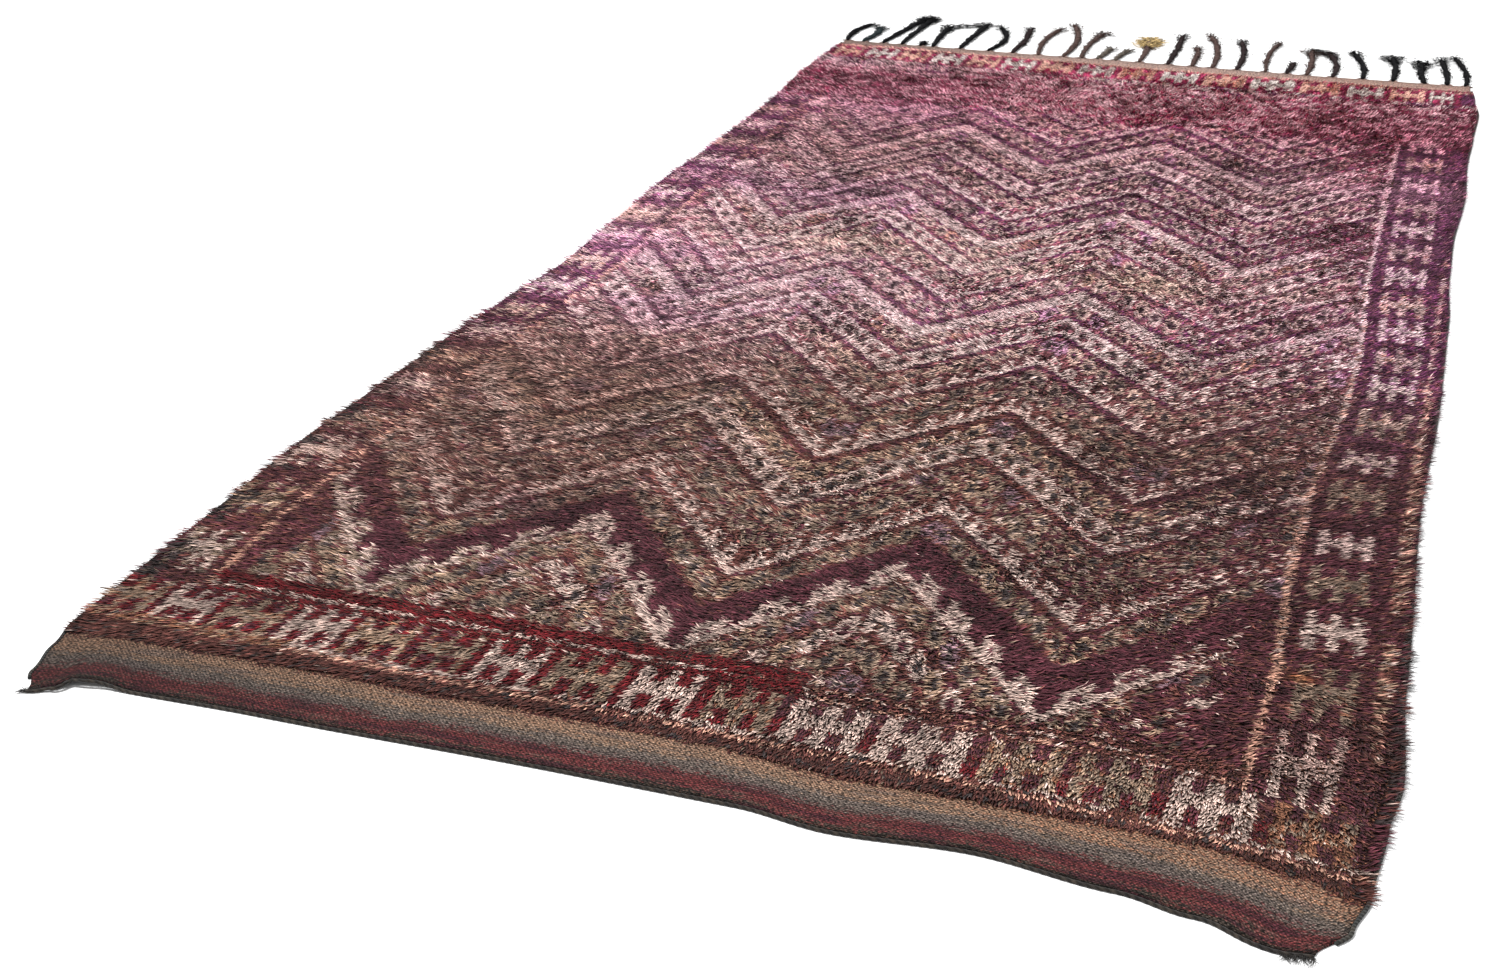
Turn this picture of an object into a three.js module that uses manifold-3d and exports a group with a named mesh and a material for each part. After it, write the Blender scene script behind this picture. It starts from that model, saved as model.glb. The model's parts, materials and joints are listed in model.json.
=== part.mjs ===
// A hand-knotted wool rug lying on the floor: a thick pile field between two flat-woven ends,
// an overcast cord down each side, a finishing cord at the near end and long plied tassels at the far end.
//
// Millimetres, +Z up. X runs across the rug and Y along it, from the near end to the fringed end.
// The tables measure `along` from the near end, `out` from the rug's middle line, and `share` as a part
// of the width, from 0 at the left edge to 1 at the right. The whole is then set over the origin.

import * as THREE from 'three';
import Module from 'manifold-3d';

const wasm = await Module();
wasm.setup();

// Heights of the cloth
const PILE_THICKNESS = 10.5;
const PILE_RIM_THICKNESS = 7.5;
const PILE_LUMP = 1.5;
const RIM_LUMP_SHARE = 0.3;
const FLAT_WEAVE_THICKNESS = 3.5;
const PILE_STEP = 9;

// Spacing of the faces. The columns are shares of the width, close together at the uneven corners.
const PILE_ROW = 78;
const RIM_COLUMN = 0.009;
const LEFT_CORNER_COLUMNS = [0, RIM_COLUMN, 0.02, 0.04, 0.07];
const RIGHT_CORNER_COLUMNS = [0.91, 0.95, 0.98, 1 - RIM_COLUMN, 1];
const MIDDLE_COLUMNS = 18;
const NEAR_FLAT_ROWS = [0, 0.3, 0.65, 1];
const FAR_FLAT_ROWS = [0, 0.5, 1];

// Cords, and the gap that parts one piece from the next
const GAP = 0.3;
const SELVEDGE_WIDTH = 5.5;
const SELVEDGE_HEIGHT = 5;
const END_CORD_WIDTH = 6;
const END_CORD_HEIGHT = 4.5;
const FRAY = { rootWidth: 3, height: 3, tipHeight: 1.5, tipShare: 0.35 };

// Locks of pile that hang over the side cords
const LOCK_PITCH = 44;
const LOCK_PITCH_SCATTER = 0.35;
const LOCK_WIDTHS = { least: 0.75, most: 1.2 };
const LOCK_REACHES = { least: 0.5, most: 1 };
const LOCK_ROOT = { inward: 14, width: 17, low: 5.9, high: 9.4 };
const LOCK_TIP = { outward: 8, width: 5, low: 5.9, high: 7.3 };
const LOCK_LEAN = 12;

// Tassels at the far end, and the strip that their roots share
const STRIP_WIDTH = 6;
const STRIP_HEIGHT = 3.5;
const STRAND_HEIGHT = 8;
const STRAND_STATIONS = 9;
const STRAND_TOP_SHARE = 0.55;
const ROOT_DEPTH = 4;
const ROOT_FLARE = 0.7;
const ROOT_FLARE_SHARE = 0.12;
const HEAD_SHARE = 0.8;
const TIP_HEIGHT_SHARE = 0.5;
const STEP_ALONG = 0.01;

const LEFT_EDGE = [
  { along: -10, out: -836 },
  { along: 34, out: -857 },
  { along: 100, out: -872 },
  { along: 170, out: -886 },
  { along: 480, out: -890 },
  { along: 820, out: -898 },
  { along: 1050, out: -890 },
  { along: 1290, out: -880 },
  { along: 1530, out: -866 },
  { along: 1770, out: -844 },
  { along: 2120, out: -851 },
  { along: 2360, out: -858 },
  { along: 2720, out: -847 },
  { along: 3080, out: -845 },
  { along: 3430, out: -861 },
  { along: 3840, out: -856 },
];
const RIGHT_EDGE = [
  { along: -20, out: 834 },
  { along: 34, out: 866 },
  { along: 100, out: 880 },
  { along: 240, out: 889 },
  { along: 350, out: 900 },
  { along: 580, out: 889 },
  { along: 1170, out: 877 },
  { along: 1560, out: 885 },
  { along: 2000, out: 882 },
  { along: 2260, out: 872 },
  { along: 2480, out: 870 },
  { along: 2840, out: 882 },
  { along: 3080, out: 877 },
  { along: 3310, out: 882 },
  { along: 3550, out: 888 },
  { along: 3690, out: 874 },
  { along: 3840, out: 862 },
];

// The lines across the rug: its near edge, where the pile begins and ends, and its far edge
const NEAR_EDGE = [
  { share: 0, along: -10 },
  { share: 0.02, along: 2 },
  { share: 0.04, along: 24 },
  { share: 0.07, along: 32 },
  { share: 0.2, along: 38 },
  { share: 0.45, along: 46 },
  { share: 0.58, along: 46 },
  { share: 0.65, along: 31 },
  { share: 0.75, along: 46 },
  { share: 0.85, along: 26 },
  { share: 0.91, along: 8 },
  { share: 0.98, along: -24 },
  { share: 1, along: -20 },
];
const NEAR_PILE_LINE = [
  { share: 0, along: 113 },
  { share: 0.03, along: 134 },
  { share: 0.14, along: 144 },
  { share: 0.42, along: 162 },
  { share: 0.54, along: 159 },
  { share: 0.62, along: 144 },
  { share: 0.83, along: 129 },
  { share: 0.92, along: 115 },
  { share: 1, along: 78 },
];
const FAR_PILE_LINE = [
  { share: 0, along: 3748 },
  { share: 0.5, along: 3742 },
  { share: 1, along: 3766 },
];
const FAR_EDGE = [
  { share: 0, along: 3797 },
  { share: 0.25, along: 3803 },
  { share: 0.5, along: 3814 },
  { share: 0.75, along: 3818 },
  { share: 0.9, along: 3829 },
  { share: 1, along: 3836 },
];

// Soft ripples that lift the cloth off the floor. `skew` is how far a crest runs along the rug for each mm across.
const RIPPLES = [
  { across: -768, along: 20, halfAcross: 67, halfAlong: 75, height: 9, skew: 0 },
  { across: -560, along: 470, halfAcross: 420, halfAlong: 120, height: 5, skew: -0.1 },
  { across: 470, along: 760, halfAcross: 500, halfAlong: 150, height: 5, skew: -0.12 },
  { across: -380, along: 1180, halfAcross: 560, halfAlong: 140, height: 6, skew: 0.06 },
  { across: 520, along: 1640, halfAcross: 440, halfAlong: 130, height: 5, skew: 0.1 },
  { across: -420, along: 2240, halfAcross: 520, halfAlong: 150, height: 5, skew: -0.08 },
  { across: 430, along: 2730, halfAcross: 520, halfAlong: 140, height: 5, skew: 0.07 },
  { across: -300, along: 3330, halfAcross: 460, halfAlong: 120, height: 4, skew: 0.05 },
];

// The tassels from left to right. `reach` is how far the tip lies past the edge, `drift` is how far it ends to
// the right of its root, `bow` is the sideways belly between them, and `head` widens a frayed tip.
const TASSELS = [
  { out: -850, reach: 222, drift: 20, bow: -14, width: 13, head: 0.6 },
  { out: -804, reach: 190, drift: 3, bow: 12, width: 14, head: 1.2 },
  { out: -745, reach: 353, drift: 44, bow: 10, width: 14, head: 1.5 },
  { out: -690, reach: 350, drift: 10, bow: 0, width: 14, head: 1.5 },
  { out: -634, reach: 34, drift: 4, bow: 0, width: 12, head: 0.8 },
  { out: -598, reach: 281, drift: 22, bow: -6, width: 14, head: 1.8 },
  { out: -520, reach: 327, drift: 13, bow: 0, width: 14, head: 0.8 },
  { out: -438, reach: 311, drift: -40, bow: 26, width: 13, head: 0.7 },
  { out: -370, reach: 314, drift: -13, bow: 8, width: 14, head: 0.8 },
  { out: -294, reach: 340, drift: 3, bow: -18, width: 13, head: 0.9 },
  { out: -226, reach: 405, drift: -48, bow: 14, width: 14, head: 0.7 },
  { out: -174, reach: 320, drift: 14, bow: -10, width: 13, head: 1.4 },
  { out: -128, reach: 137, drift: 16, bow: 5, width: 12, head: 0.6 },
  { out: -79, reach: 131, drift: 23, bow: 0, width: 12, head: 0.6 },
  { out: -13, reach: 281, drift: -14, bow: 2, width: 14, head: 4.2 },
  { out: 65, reach: 366, drift: -10, bow: 2, width: 14, head: 0.7 },
  { out: 131, reach: 229, drift: -16, bow: 2, width: 13, head: 0.6 },
  { out: 187, reach: 392, drift: -62, bow: 4, width: 14, head: 0.7 },
  { out: 252, reach: 356, drift: -33, bow: 6, width: 14, head: 0.8 },
  { out: 331, reach: 356, drift: 0, bow: -13, width: 10, head: 0.6 },
  { out: 386, reach: 124, drift: 7, bow: 3, width: 12, head: 0.5 },
  { out: 438, reach: 294, drift: -16, bow: 6, width: 13, head: 1.7 },
  { out: 507, reach: 268, drift: -33, bow: 8, width: 14, head: 1.2 },
  { out: 586, reach: 304, drift: -52, bow: 2, width: 14, head: 0.9 },
  { out: 664, reach: 278, drift: -20, bow: 4, width: 15, head: 2.0 },
  { out: 746, reach: 235, drift: -16, bow: -12, width: 15, head: 2.1 },
  { out: 804, reach: 297, drift: -33, bow: -2, width: 14, head: 0.9 },
  { out: 852, reach: 327, drift: -50, bow: 4, width: 13, head: 0.7 },
];

// Loose yarn at the two near corners, fused to the finishing cord. `step` counts the cord's bends from the
// corner and `turn` is in degrees from the +X axis.
const FRAYED_ENDS = [
  { corner: 'left', step: 0, turn: 188, reach: 20, width: 4 },
  { corner: 'right', step: 0, turn: -62, reach: 17, width: 6 },
  { corner: 'right', step: 1, turn: -88, reach: 24, width: 8 },
  { corner: 'right', step: 2, turn: -118, reach: 18, width: 7 },
];

const smooth = (k) => k * k * (3 - 2 * k);
const mix = THREE.MathUtils.lerp;

// The value in a table's `to` column where its `from` column is `at`, eased between rows.
function lookup(table, from, to, at) {
  const last = table.length - 1;
  if (at <= table[0][from]) return table[0][to];
  if (at >= table[last][from]) return table[last][to];
  const row = table.findIndex((entry) => entry[from] > at) - 1;
  const share = (at - table[row][from]) / (table[row + 1][from] - table[row][from]);
  return mix(table[row][to], table[row + 1][to], smooth(share));
}

// A number from 0 to 1 that is always the same for one place of the grid.
function scatter(column, row) {
  const wave = Math.sin(column * 12.9898 + row * 78.233) * 43758.5453;
  return wave - Math.floor(wave);
}

const leftEdge = (along) => lookup(LEFT_EDGE, 'along', 'out', along);
const rightEdge = (along) => lookup(RIGHT_EDGE, 'along', 'out', along);
const lineAcross = (table, share) => lookup(table, 'share', 'along', share);

// How high the cloth's underside is over the floor: the sum of the ripples, each a soft bump with a clean foot.
function lift(x, y) {
  let height = 0;
  for (const ripple of RIPPLES) {
    const across = (x - ripple.across) / ripple.halfAcross;
    const along = (y - ripple.along - ripple.skew * (x - ripple.across)) / ripple.halfAlong;
    if (Math.abs(across) < 1 && Math.abs(along) < 1) {
      height += ripple.height * smooth(1 - Math.abs(across)) * smooth(1 - Math.abs(along));
    }
  }
  return height;
}

// The grid's lines along the rug: close together at the uneven corners and the rim, evenly spaced between.
function shares() {
  const from = LEFT_CORNER_COLUMNS.at(-1);
  const to = RIGHT_CORNER_COLUMNS[0];
  const step = (to - from) / (MIDDLE_COLUMNS + 1);
  const between = Array.from({ length: MIDDLE_COLUMNS }, (_, column) => from + (column + 1) * step);
  return [...LEFT_CORNER_COLUMNS, ...between, ...RIGHT_CORNER_COLUMNS];
}

// The grid's lines across the rug, as pairs of border lines and the share of the way from one to the other.
function rows() {
  const pileRows = Math.round((FAR_PILE_LINE[0].along - NEAR_PILE_LINE[0].along) / PILE_ROW);
  const pileShares = Array.from({ length: pileRows + 1 }, (_, row) => row / pileRows);
  return [
    ...NEAR_FLAT_ROWS.map((share) => ({ from: NEAR_EDGE, to: NEAR_PILE_LINE, share, pile: false })),
    ...pileShares.map((share) => ({ from: NEAR_PILE_LINE, to: FAR_PILE_LINE, share, pile: true })),
    ...FAR_FLAT_ROWS.map((share) => ({ from: FAR_PILE_LINE, to: FAR_EDGE, share, pile: false })),
  ];
}

const SHARES = shares();
const ROWS = rows();
const LAST_COLUMN = SHARES.length - 1;
const LAST_ROW = ROWS.length - 1;
const FIRST_PILE_ROW = NEAR_FLAT_ROWS.length;
const LAST_PILE_ROW = LAST_ROW - FAR_FLAT_ROWS.length;

// Where a crossing of the grid lies on the floor plan. The pile's first and last rows step in from its border.
function planPoint(column, row) {
  const share = SHARES[column];
  const { from, to, share: way, pile } = ROWS[row];
  const inset = pile ? PILE_STEP : 0;
  const start = lineAcross(from, share) + inset;
  const end = lineAcross(to, share) - inset;
  const y = mix(start, end, way);
  return { x: mix(leftEdge(y), rightEdge(y), share), y };
}

function clothThickness(column, row) {
  if (!ROWS[row].pile) return FLAT_WEAVE_THICKNESS;
  const atRim = column === 0 || column === LAST_COLUMN;
  const lump = mix(-PILE_LUMP, PILE_LUMP, scatter(column, row));
  return atRim ? PILE_RIM_THICKNESS + RIM_LUMP_SHARE * lump : PILE_THICKNESS + lump;
}

function bodyPoint(column, row, onTop) {
  const { x, y } = planPoint(column, row);
  const z = lift(x, y) + (onTop ? clothThickness(column, row) : 0);
  return new THREE.Vector3(x, y, z);
}

function geometryFrom(points, triangles) {
  const geometry = new THREE.BufferGeometry();
  geometry.setFromPoints(points);
  geometry.setIndex(triangles.flat());
  geometry.computeVertexNormals();
  return geometry;
}

// A closed sheet from a grid of points above and the same grid below.
function closedSheet(pointAt, lastColumn, lastRow) {
  const points = [];
  const index = (column, row, onTop) => (row * (lastColumn + 1) + column) * 2 + (onTop ? 1 : 0);
  for (let row = 0; row <= lastRow; row += 1) {
    for (let column = 0; column <= lastColumn; column += 1) {
      points.push(pointAt(column, row, false), pointAt(column, row, true));
    }
  }
  const triangles = [];
  const quad = (a, b, c, d) => triangles.push([a, b, c], [a, c, d]);
  for (let row = 0; row < lastRow; row += 1) {
    for (let column = 0; column < lastColumn; column += 1) {
      const corners = [[column, row], [column + 1, row], [column + 1, row + 1], [column, row + 1]];
      quad(...corners.map(([i, j]) => index(i, j, true)));
      quad(...corners.reverse().map(([i, j]) => index(i, j, false)));
    }
  }
  const wall = (here, next) => {
    quad(index(...here, false), index(...next, false), index(...next, true), index(...here, true));
  };
  for (let column = 0; column < lastColumn; column += 1) {
    wall([column, 0], [column + 1, 0]);
    wall([column + 1, lastRow], [column, lastRow]);
  }
  for (let row = 0; row < lastRow; row += 1) {
    wall([lastColumn, row], [lastColumn, row + 1]);
    wall([0, row + 1], [0, row]);
  }
  return geometryFrom(points, triangles);
}

// A closed tube through rings of points, each ring running clockwise as seen from the start.
function closedTube(rings) {
  const sides = rings[0].length;
  const triangles = [];
  for (let ring = 0; ring < rings.length - 1; ring += 1) {
    for (let side = 0; side < sides; side += 1) {
      const a = ring * sides + side;
      const b = ring * sides + ((side + 1) % sides);
      triangles.push([a, b, b + sides], [a, b + sides, a + sides]);
    }
  }
  const end = (rings.length - 1) * sides;
  for (let side = 1; side < sides - 1; side += 1) {
    triangles.push([0, side + 1, side], [end, end + side, end + side + 1]);
  }
  return geometryFrom(rings.flat(), triangles);
}

function toSolid(geometry) {
  const vertProperties = geometry.attributes.position.array;
  const triVerts = new Uint32Array(geometry.index.array);
  return new wasm.Manifold(new wasm.Mesh({ numProp: 3, vertProperties, triVerts }));
}

function toGeometry(solid) {
  const { vertProperties, triVerts } = solid.getMesh();
  const geometry = new THREE.BufferGeometry();
  geometry.setAttribute('position', new THREE.BufferAttribute(vertProperties, 3));
  geometry.setIndex(new THREE.BufferAttribute(triVerts, 1));
  geometry.computeVertexNormals();
  return geometry;
}

const fuse = (geometries) => toGeometry(geometries.map(toSolid).reduce((whole, piece) => whole.add(piece)));

// One lock of pile: a tapered wedge whose root is inside the slab and whose tip hangs over the side cord.
function lock(edge, outward, along, width, reach) {
  const ring = (end, x, y, breadth) => {
    const base = lift(x, y);
    const corner = (side, z) => new THREE.Vector3(x, y + (outward * side * breadth) / 2, base + z);
    return [corner(-1, end.low), corner(1, end.low), corner(1, end.high), corner(-1, end.high)];
  };
  const root = ring(LOCK_ROOT, edge(along) - outward * LOCK_ROOT.inward, along, LOCK_ROOT.width * width);
  const tipAlong = along - LOCK_LEAN * reach;
  const tip = ring(LOCK_TIP, edge(along) + outward * LOCK_TIP.outward * reach, tipAlong, LOCK_TIP.width * width);
  return closedTube([root, tip]);
}

function rimLocks(edge, outward) {
  const start = planPoint(0, FIRST_PILE_ROW).y + LOCK_PITCH;
  const end = planPoint(0, LAST_PILE_ROW).y - LOCK_PITCH;
  const count = Math.floor((end - start) / LOCK_PITCH);
  return Array.from({ length: count + 1 }, (_, place) => {
    const shift = (scatter(place, outward) - 0.5) * LOCK_PITCH_SCATTER;
    const along = start + (place + shift) * LOCK_PITCH;
    const width = mix(LOCK_WIDTHS.least, LOCK_WIDTHS.most, scatter(place, 3 + outward));
    const reach = mix(LOCK_REACHES.least, LOCK_REACHES.most, scatter(place, 6 + outward));
    return lock(edge, outward, along, width, reach);
  });
}

function rugBody() {
  const slab = closedSheet(bodyPoint, LAST_COLUMN, LAST_ROW);
  return fuse([slab, ...rimLocks(leftEdge, -1), ...rimLocks(rightEdge, 1)]);
}

// A path of floor-plan points, with the sideways direction that keeps every stretch the same distance off.
function offsetDirections(path) {
  const normals = path.slice(1).map((point, i) => {
    const run = new THREE.Vector2(point.x - path[i].x, point.y - path[i].y).normalize();
    return new THREE.Vector2(run.y, -run.x);
  });
  return path.map((_, i) => {
    const before = normals[Math.max(i - 1, 0)];
    const after = normals[Math.min(i, normals.length - 1)];
    const mitre = before.clone().add(after).normalize();
    return mitre.divideScalar(mitre.dot(after));
  });
}

// A cord or strip lying just outside a path, on its right-hand side. The profile's points are a distance
// off the path and a height over the cloth's underside.
function besidePath(path, profile) {
  const directions = offsetDirections(path);
  return closedTube(path.map((point, i) => profile.map(({ off, high }) => new THREE.Vector3(
    point.x + directions[i].x * off,
    point.y + directions[i].y * off,
    lift(point.x, point.y) + high,
  ))));
}

// A rounded cord section, from its foot by the cloth outward and back over the top.
const cordProfile = (width, height) => [
  { off: GAP, high: 0.2 * height },
  { off: GAP, high: 0.75 * height },
  { off: GAP + 0.35 * width, high: height },
  { off: GAP + 0.85 * width, high: 0.8 * height },
  { off: GAP + width, high: 0.35 * height },
  { off: GAP + 0.65 * width, high: 0 },
  { off: GAP + 0.2 * width, high: 0 },
];

// The side cords run the length of the cloth, and stop one row short of the cord and the strip at its ends.
function selvedge(column) {
  const path = ROWS.map((_, row) => planPoint(column, row)).slice(1, -1);
  return besidePath(column === 0 ? path.reverse() : path, cordProfile(SELVEDGE_WIDTH, SELVEDGE_HEIGHT));
}

// A few fibres at a corner: a flat tapered wedge with its root inside the end cord.
function frayedEnd({ corner, step, turn, reach, width }, path) {
  const place = corner === 'left' ? step : path.length - 1 - step;
  const outward = offsetDirections(path)[place];
  const angle = THREE.MathUtils.degToRad(turn);
  const run = new THREE.Vector2(Math.cos(angle), Math.sin(angle));
  const start = new THREE.Vector2(path[place].x, path[place].y).addScaledVector(outward, END_CORD_WIDTH / 2);
  start.addScaledVector(run, corner === 'left' ? -width : 0);
  const ring = (distance, breadth, height) => {
    const middle = start.clone().addScaledVector(run, distance);
    const side = new THREE.Vector2(run.y, -run.x).multiplyScalar(breadth / 2);
    return [[1, 0], [-1, 0], [-1, 1], [1, 1]].map(([lean, top]) => (
      new THREE.Vector3(middle.x + side.x * lean, middle.y + side.y * lean, top * height)
    ));
  };
  return closedTube([
    ring(0, FRAY.rootWidth, FRAY.height),
    ring(reach / 2, width, FRAY.height),
    ring(reach, width * FRAY.tipShare, FRAY.tipHeight),
  ]);
}

function endCord() {
  const path = SHARES.map((_, column) => planPoint(column, 0));
  const cord = besidePath(path, cordProfile(END_CORD_WIDTH, END_CORD_HEIGHT));
  return fuse([cord, ...FRAYED_ENDS.map((row) => frayedEnd(row, path))]);
}

// One plied tassel resting level on the floor: four-sided, flared at its root, often splayed at its tip.
function tassel({ out, reach, drift, bow, width, head }) {
  const share = (out - LEFT_EDGE.at(-1).out) / (RIGHT_EDGE.at(-1).out - LEFT_EDGE.at(-1).out);
  const edge = lineAcross(FAR_EDGE, share) + GAP;
  const point = (way) => new THREE.Vector2(
    out + drift * way * way + bow * Math.sin(Math.PI * way),
    edge + STRIP_WIDTH - ROOT_DEPTH + (reach - STRIP_WIDTH + ROOT_DEPTH) * way,
  );
  const rings = Array.from({ length: STRAND_STATIONS }, (_, station) => {
    const way = station / (STRAND_STATIONS - 1);
    const run = point(way + STEP_ALONG).sub(point(way - STEP_ALONG)).normalize();
    const side = station === 0 ? new THREE.Vector2(1, 0) : new THREE.Vector2(run.y, -run.x);
    const flare = 1 + ROOT_FLARE * Math.max(0, 1 - way / ROOT_FLARE_SHARE);
    const splay = mix(1, head, smooth(Math.max(0, (way - HEAD_SHARE) / (1 - HEAD_SHARE))));
    const half = (width * flare * splay) / 2;
    const high = station === 0 ? STRIP_HEIGHT : STRAND_HEIGHT * (way === 1 ? TIP_HEIGHT_SHARE : 1);
    return [[1, 0], [-1, 0], [-STRAND_TOP_SHARE, 1], [STRAND_TOP_SHARE, 1]].map(([lean, top]) => {
      const at = point(way).addScaledVector(side, lean * half);
      return new THREE.Vector3(at.x, at.y, top * high);
    });
  });
  return closedTube(rings);
}

function fringe() {
  const path = SHARES.map((_, column) => planPoint(column, LAST_ROW)).reverse();
  const strip = besidePath(path, [
    { off: GAP, high: 0 },
    { off: GAP, high: STRIP_HEIGHT },
    { off: GAP + STRIP_WIDTH, high: STRIP_HEIGHT },
    { off: GAP + STRIP_WIDTH, high: 0 },
  ]);
  return fuse([strip, ...TASSELS.map(tassel)]);
}

const YARNS = {
  pileWool: new THREE.MeshStandardMaterial({ color: 0x6a3f45, roughness: 0.95, metalness: 0 }),
  sideCord: new THREE.MeshStandardMaterial({ color: 0x4d4842, roughness: 0.9, metalness: 0 }),
  endCord: new THREE.MeshStandardMaterial({ color: 0x3f3c39, roughness: 0.9, metalness: 0 }),
  tasselYarn: new THREE.MeshStandardMaterial({ color: 0x33302f, roughness: 0.9, metalness: 0 }),
};

function piece(name, geometry, material) {
  const mesh = new THREE.Mesh(geometry, material);
  mesh.name = name;
  return mesh;
}

const rug = new THREE.Group();
rug.add(
  piece('rug_body', rugBody(), YARNS.pileWool),
  piece('selvedge_left', selvedge(0), YARNS.sideCord),
  piece('selvedge_right', selvedge(LAST_COLUMN), YARNS.sideCord),
  piece('end_cord_near', endCord(), YARNS.endCord),
  piece('fringe_far', fringe(), YARNS.tasselYarn),
);

// The origin is on the floor, under the middle of the whole rug with its tassels.
const middle = new THREE.Box3().setFromObject(rug).getCenter(new THREE.Vector3());
rug.position.set(-middle.x, -middle.y, 0);
rug.updateMatrixWorld(true);

export default rug;
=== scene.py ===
"""A long hand-knotted wool rug: a zigzag pile field and comb borders between two flat-woven ends,
with overcast side cords, a twined near end and plied tassels at the far end.

Everything is in metres. The plan has X across the rug, from its middle line, and Y along it, from the
near end. The pattern is worked out knot by knot on a chart, with u across and v along in shares of
PATTERN_UNIT, and each knot is a lock of wool.
"""

import json

import bpy
import numpy as np
from bpy.props import FloatProperty, FloatVectorProperty, IntProperty, PointerProperty
from mathutils import Matrix, Vector

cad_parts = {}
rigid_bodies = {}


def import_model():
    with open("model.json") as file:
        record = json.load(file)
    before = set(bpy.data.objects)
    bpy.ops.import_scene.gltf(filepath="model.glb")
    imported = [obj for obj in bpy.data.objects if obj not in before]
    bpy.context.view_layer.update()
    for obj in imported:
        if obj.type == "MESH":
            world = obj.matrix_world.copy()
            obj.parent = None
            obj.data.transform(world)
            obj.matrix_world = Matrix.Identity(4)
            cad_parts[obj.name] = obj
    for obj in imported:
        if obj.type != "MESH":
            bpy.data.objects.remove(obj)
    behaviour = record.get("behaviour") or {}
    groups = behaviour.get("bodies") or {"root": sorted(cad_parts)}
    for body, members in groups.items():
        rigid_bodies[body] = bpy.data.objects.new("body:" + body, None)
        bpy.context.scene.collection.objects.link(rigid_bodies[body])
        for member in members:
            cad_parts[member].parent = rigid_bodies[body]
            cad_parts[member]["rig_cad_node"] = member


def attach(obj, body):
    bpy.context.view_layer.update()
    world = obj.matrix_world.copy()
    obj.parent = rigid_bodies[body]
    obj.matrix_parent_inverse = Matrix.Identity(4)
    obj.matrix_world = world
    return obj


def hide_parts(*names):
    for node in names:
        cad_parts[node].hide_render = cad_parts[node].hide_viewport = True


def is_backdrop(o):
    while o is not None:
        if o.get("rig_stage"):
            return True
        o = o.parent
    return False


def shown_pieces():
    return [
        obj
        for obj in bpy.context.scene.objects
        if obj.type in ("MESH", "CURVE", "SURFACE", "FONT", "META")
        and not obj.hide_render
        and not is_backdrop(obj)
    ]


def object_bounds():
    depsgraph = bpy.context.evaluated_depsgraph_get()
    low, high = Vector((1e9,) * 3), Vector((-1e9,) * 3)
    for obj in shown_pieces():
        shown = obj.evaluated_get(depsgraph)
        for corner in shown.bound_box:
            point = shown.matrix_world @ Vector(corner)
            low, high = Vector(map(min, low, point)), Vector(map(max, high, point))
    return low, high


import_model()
SOLID_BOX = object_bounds()

bl_info = {
    "name": "Knotted pile rug",
    "version": (1, 0, 0),
    "blender": (4, 5, 0),
    "location": "View3D > Sidebar > Rug",
    "description": "Builds a hand-knotted wool rug with a zigzag pile, flat-woven ends, cords and tassels",
    "category": "Add Mesh",
}

# The plan's zero, seen from the middle of the whole rug
PLAN_MIDDLE = (0.001053, 2.083073)

# How many metres a pattern unit is, and the chart's u at the rug's middle line
PATTERN_UNIT = 1.70
PATTERN_LEFT = 0.494

# The cloth's outline, as in the part's source: along against out, then share of the width against along
LEFT_EDGE = (
    (-0.010, -0.836), (0.034, -0.857), (0.100, -0.872), (0.170, -0.886), (0.480, -0.890),
    (0.820, -0.898), (1.050, -0.890), (1.290, -0.880), (1.530, -0.866), (1.770, -0.844),
    (2.120, -0.851), (2.360, -0.858), (2.720, -0.847), (3.080, -0.845), (3.430, -0.861),
    (3.840, -0.856),
)
RIGHT_EDGE = (
    (-0.020, 0.834), (0.034, 0.866), (0.100, 0.880), (0.240, 0.889), (0.350, 0.900), (0.580, 0.889),
    (1.170, 0.877), (1.560, 0.885), (2.000, 0.882), (2.260, 0.872), (2.480, 0.870), (2.840, 0.882),
    (3.080, 0.877), (3.310, 0.882), (3.550, 0.888), (3.690, 0.874), (3.840, 0.862),
)
NEAR_EDGE = (
    (0, -0.010), (0.02, 0.002), (0.04, 0.024), (0.07, 0.032), (0.2, 0.038), (0.45, 0.046),
    (0.58, 0.046), (0.65, 0.031), (0.75, 0.046), (0.85, 0.026), (0.91, 0.008), (0.98, -0.024),
    (1, -0.020),
)
NEAR_PILE_LINE = (
    (0, 0.146), (0.03, 0.152), (0.115, 0.160), (0.31, 0.162), (0.45, 0.167), (0.52, 0.165),
    (0.65, 0.149), (0.75, 0.151), (0.82, 0.154), (0.89, 0.149), (0.96, 0.124), (1, 0.092),
)
FAR_PILE_LINE = ((0, 3.748), (0.5, 3.742), (1, 3.766))
FAR_EDGE = ((0, 3.797), (0.25, 3.803), (0.5, 3.814), (0.75, 3.818), (0.9, 3.829), (1, 3.836))

# Ripples: across, along, half across, half along, height, and how far the crest runs along a metre across
RIPPLES = (
    (-0.768, 0.020, 0.067, 0.075, 0.009, 0),
    (-0.560, 0.470, 0.420, 0.120, 0.005, -0.1),
    (0.470, 0.760, 0.500, 0.150, 0.005, -0.12),
    (-0.380, 1.180, 0.560, 0.140, 0.006, 0.06),
    (0.520, 1.640, 0.440, 0.130, 0.005, 0.1),
    (-0.420, 2.240, 0.520, 0.150, 0.005, -0.08),
    (0.430, 2.730, 0.520, 0.140, 0.005, 0.07),
    (-0.300, 3.330, 0.460, 0.120, 0.004, 0.05),
)

# The thickness of the flat weave and of the cloth under the pile, and the gap between a cord and the cloth
FLAT_WEAVE = 0.0035
CLOTH_UNDER_PILE = 0.0035
CORD_GAP = 0.0003

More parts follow.
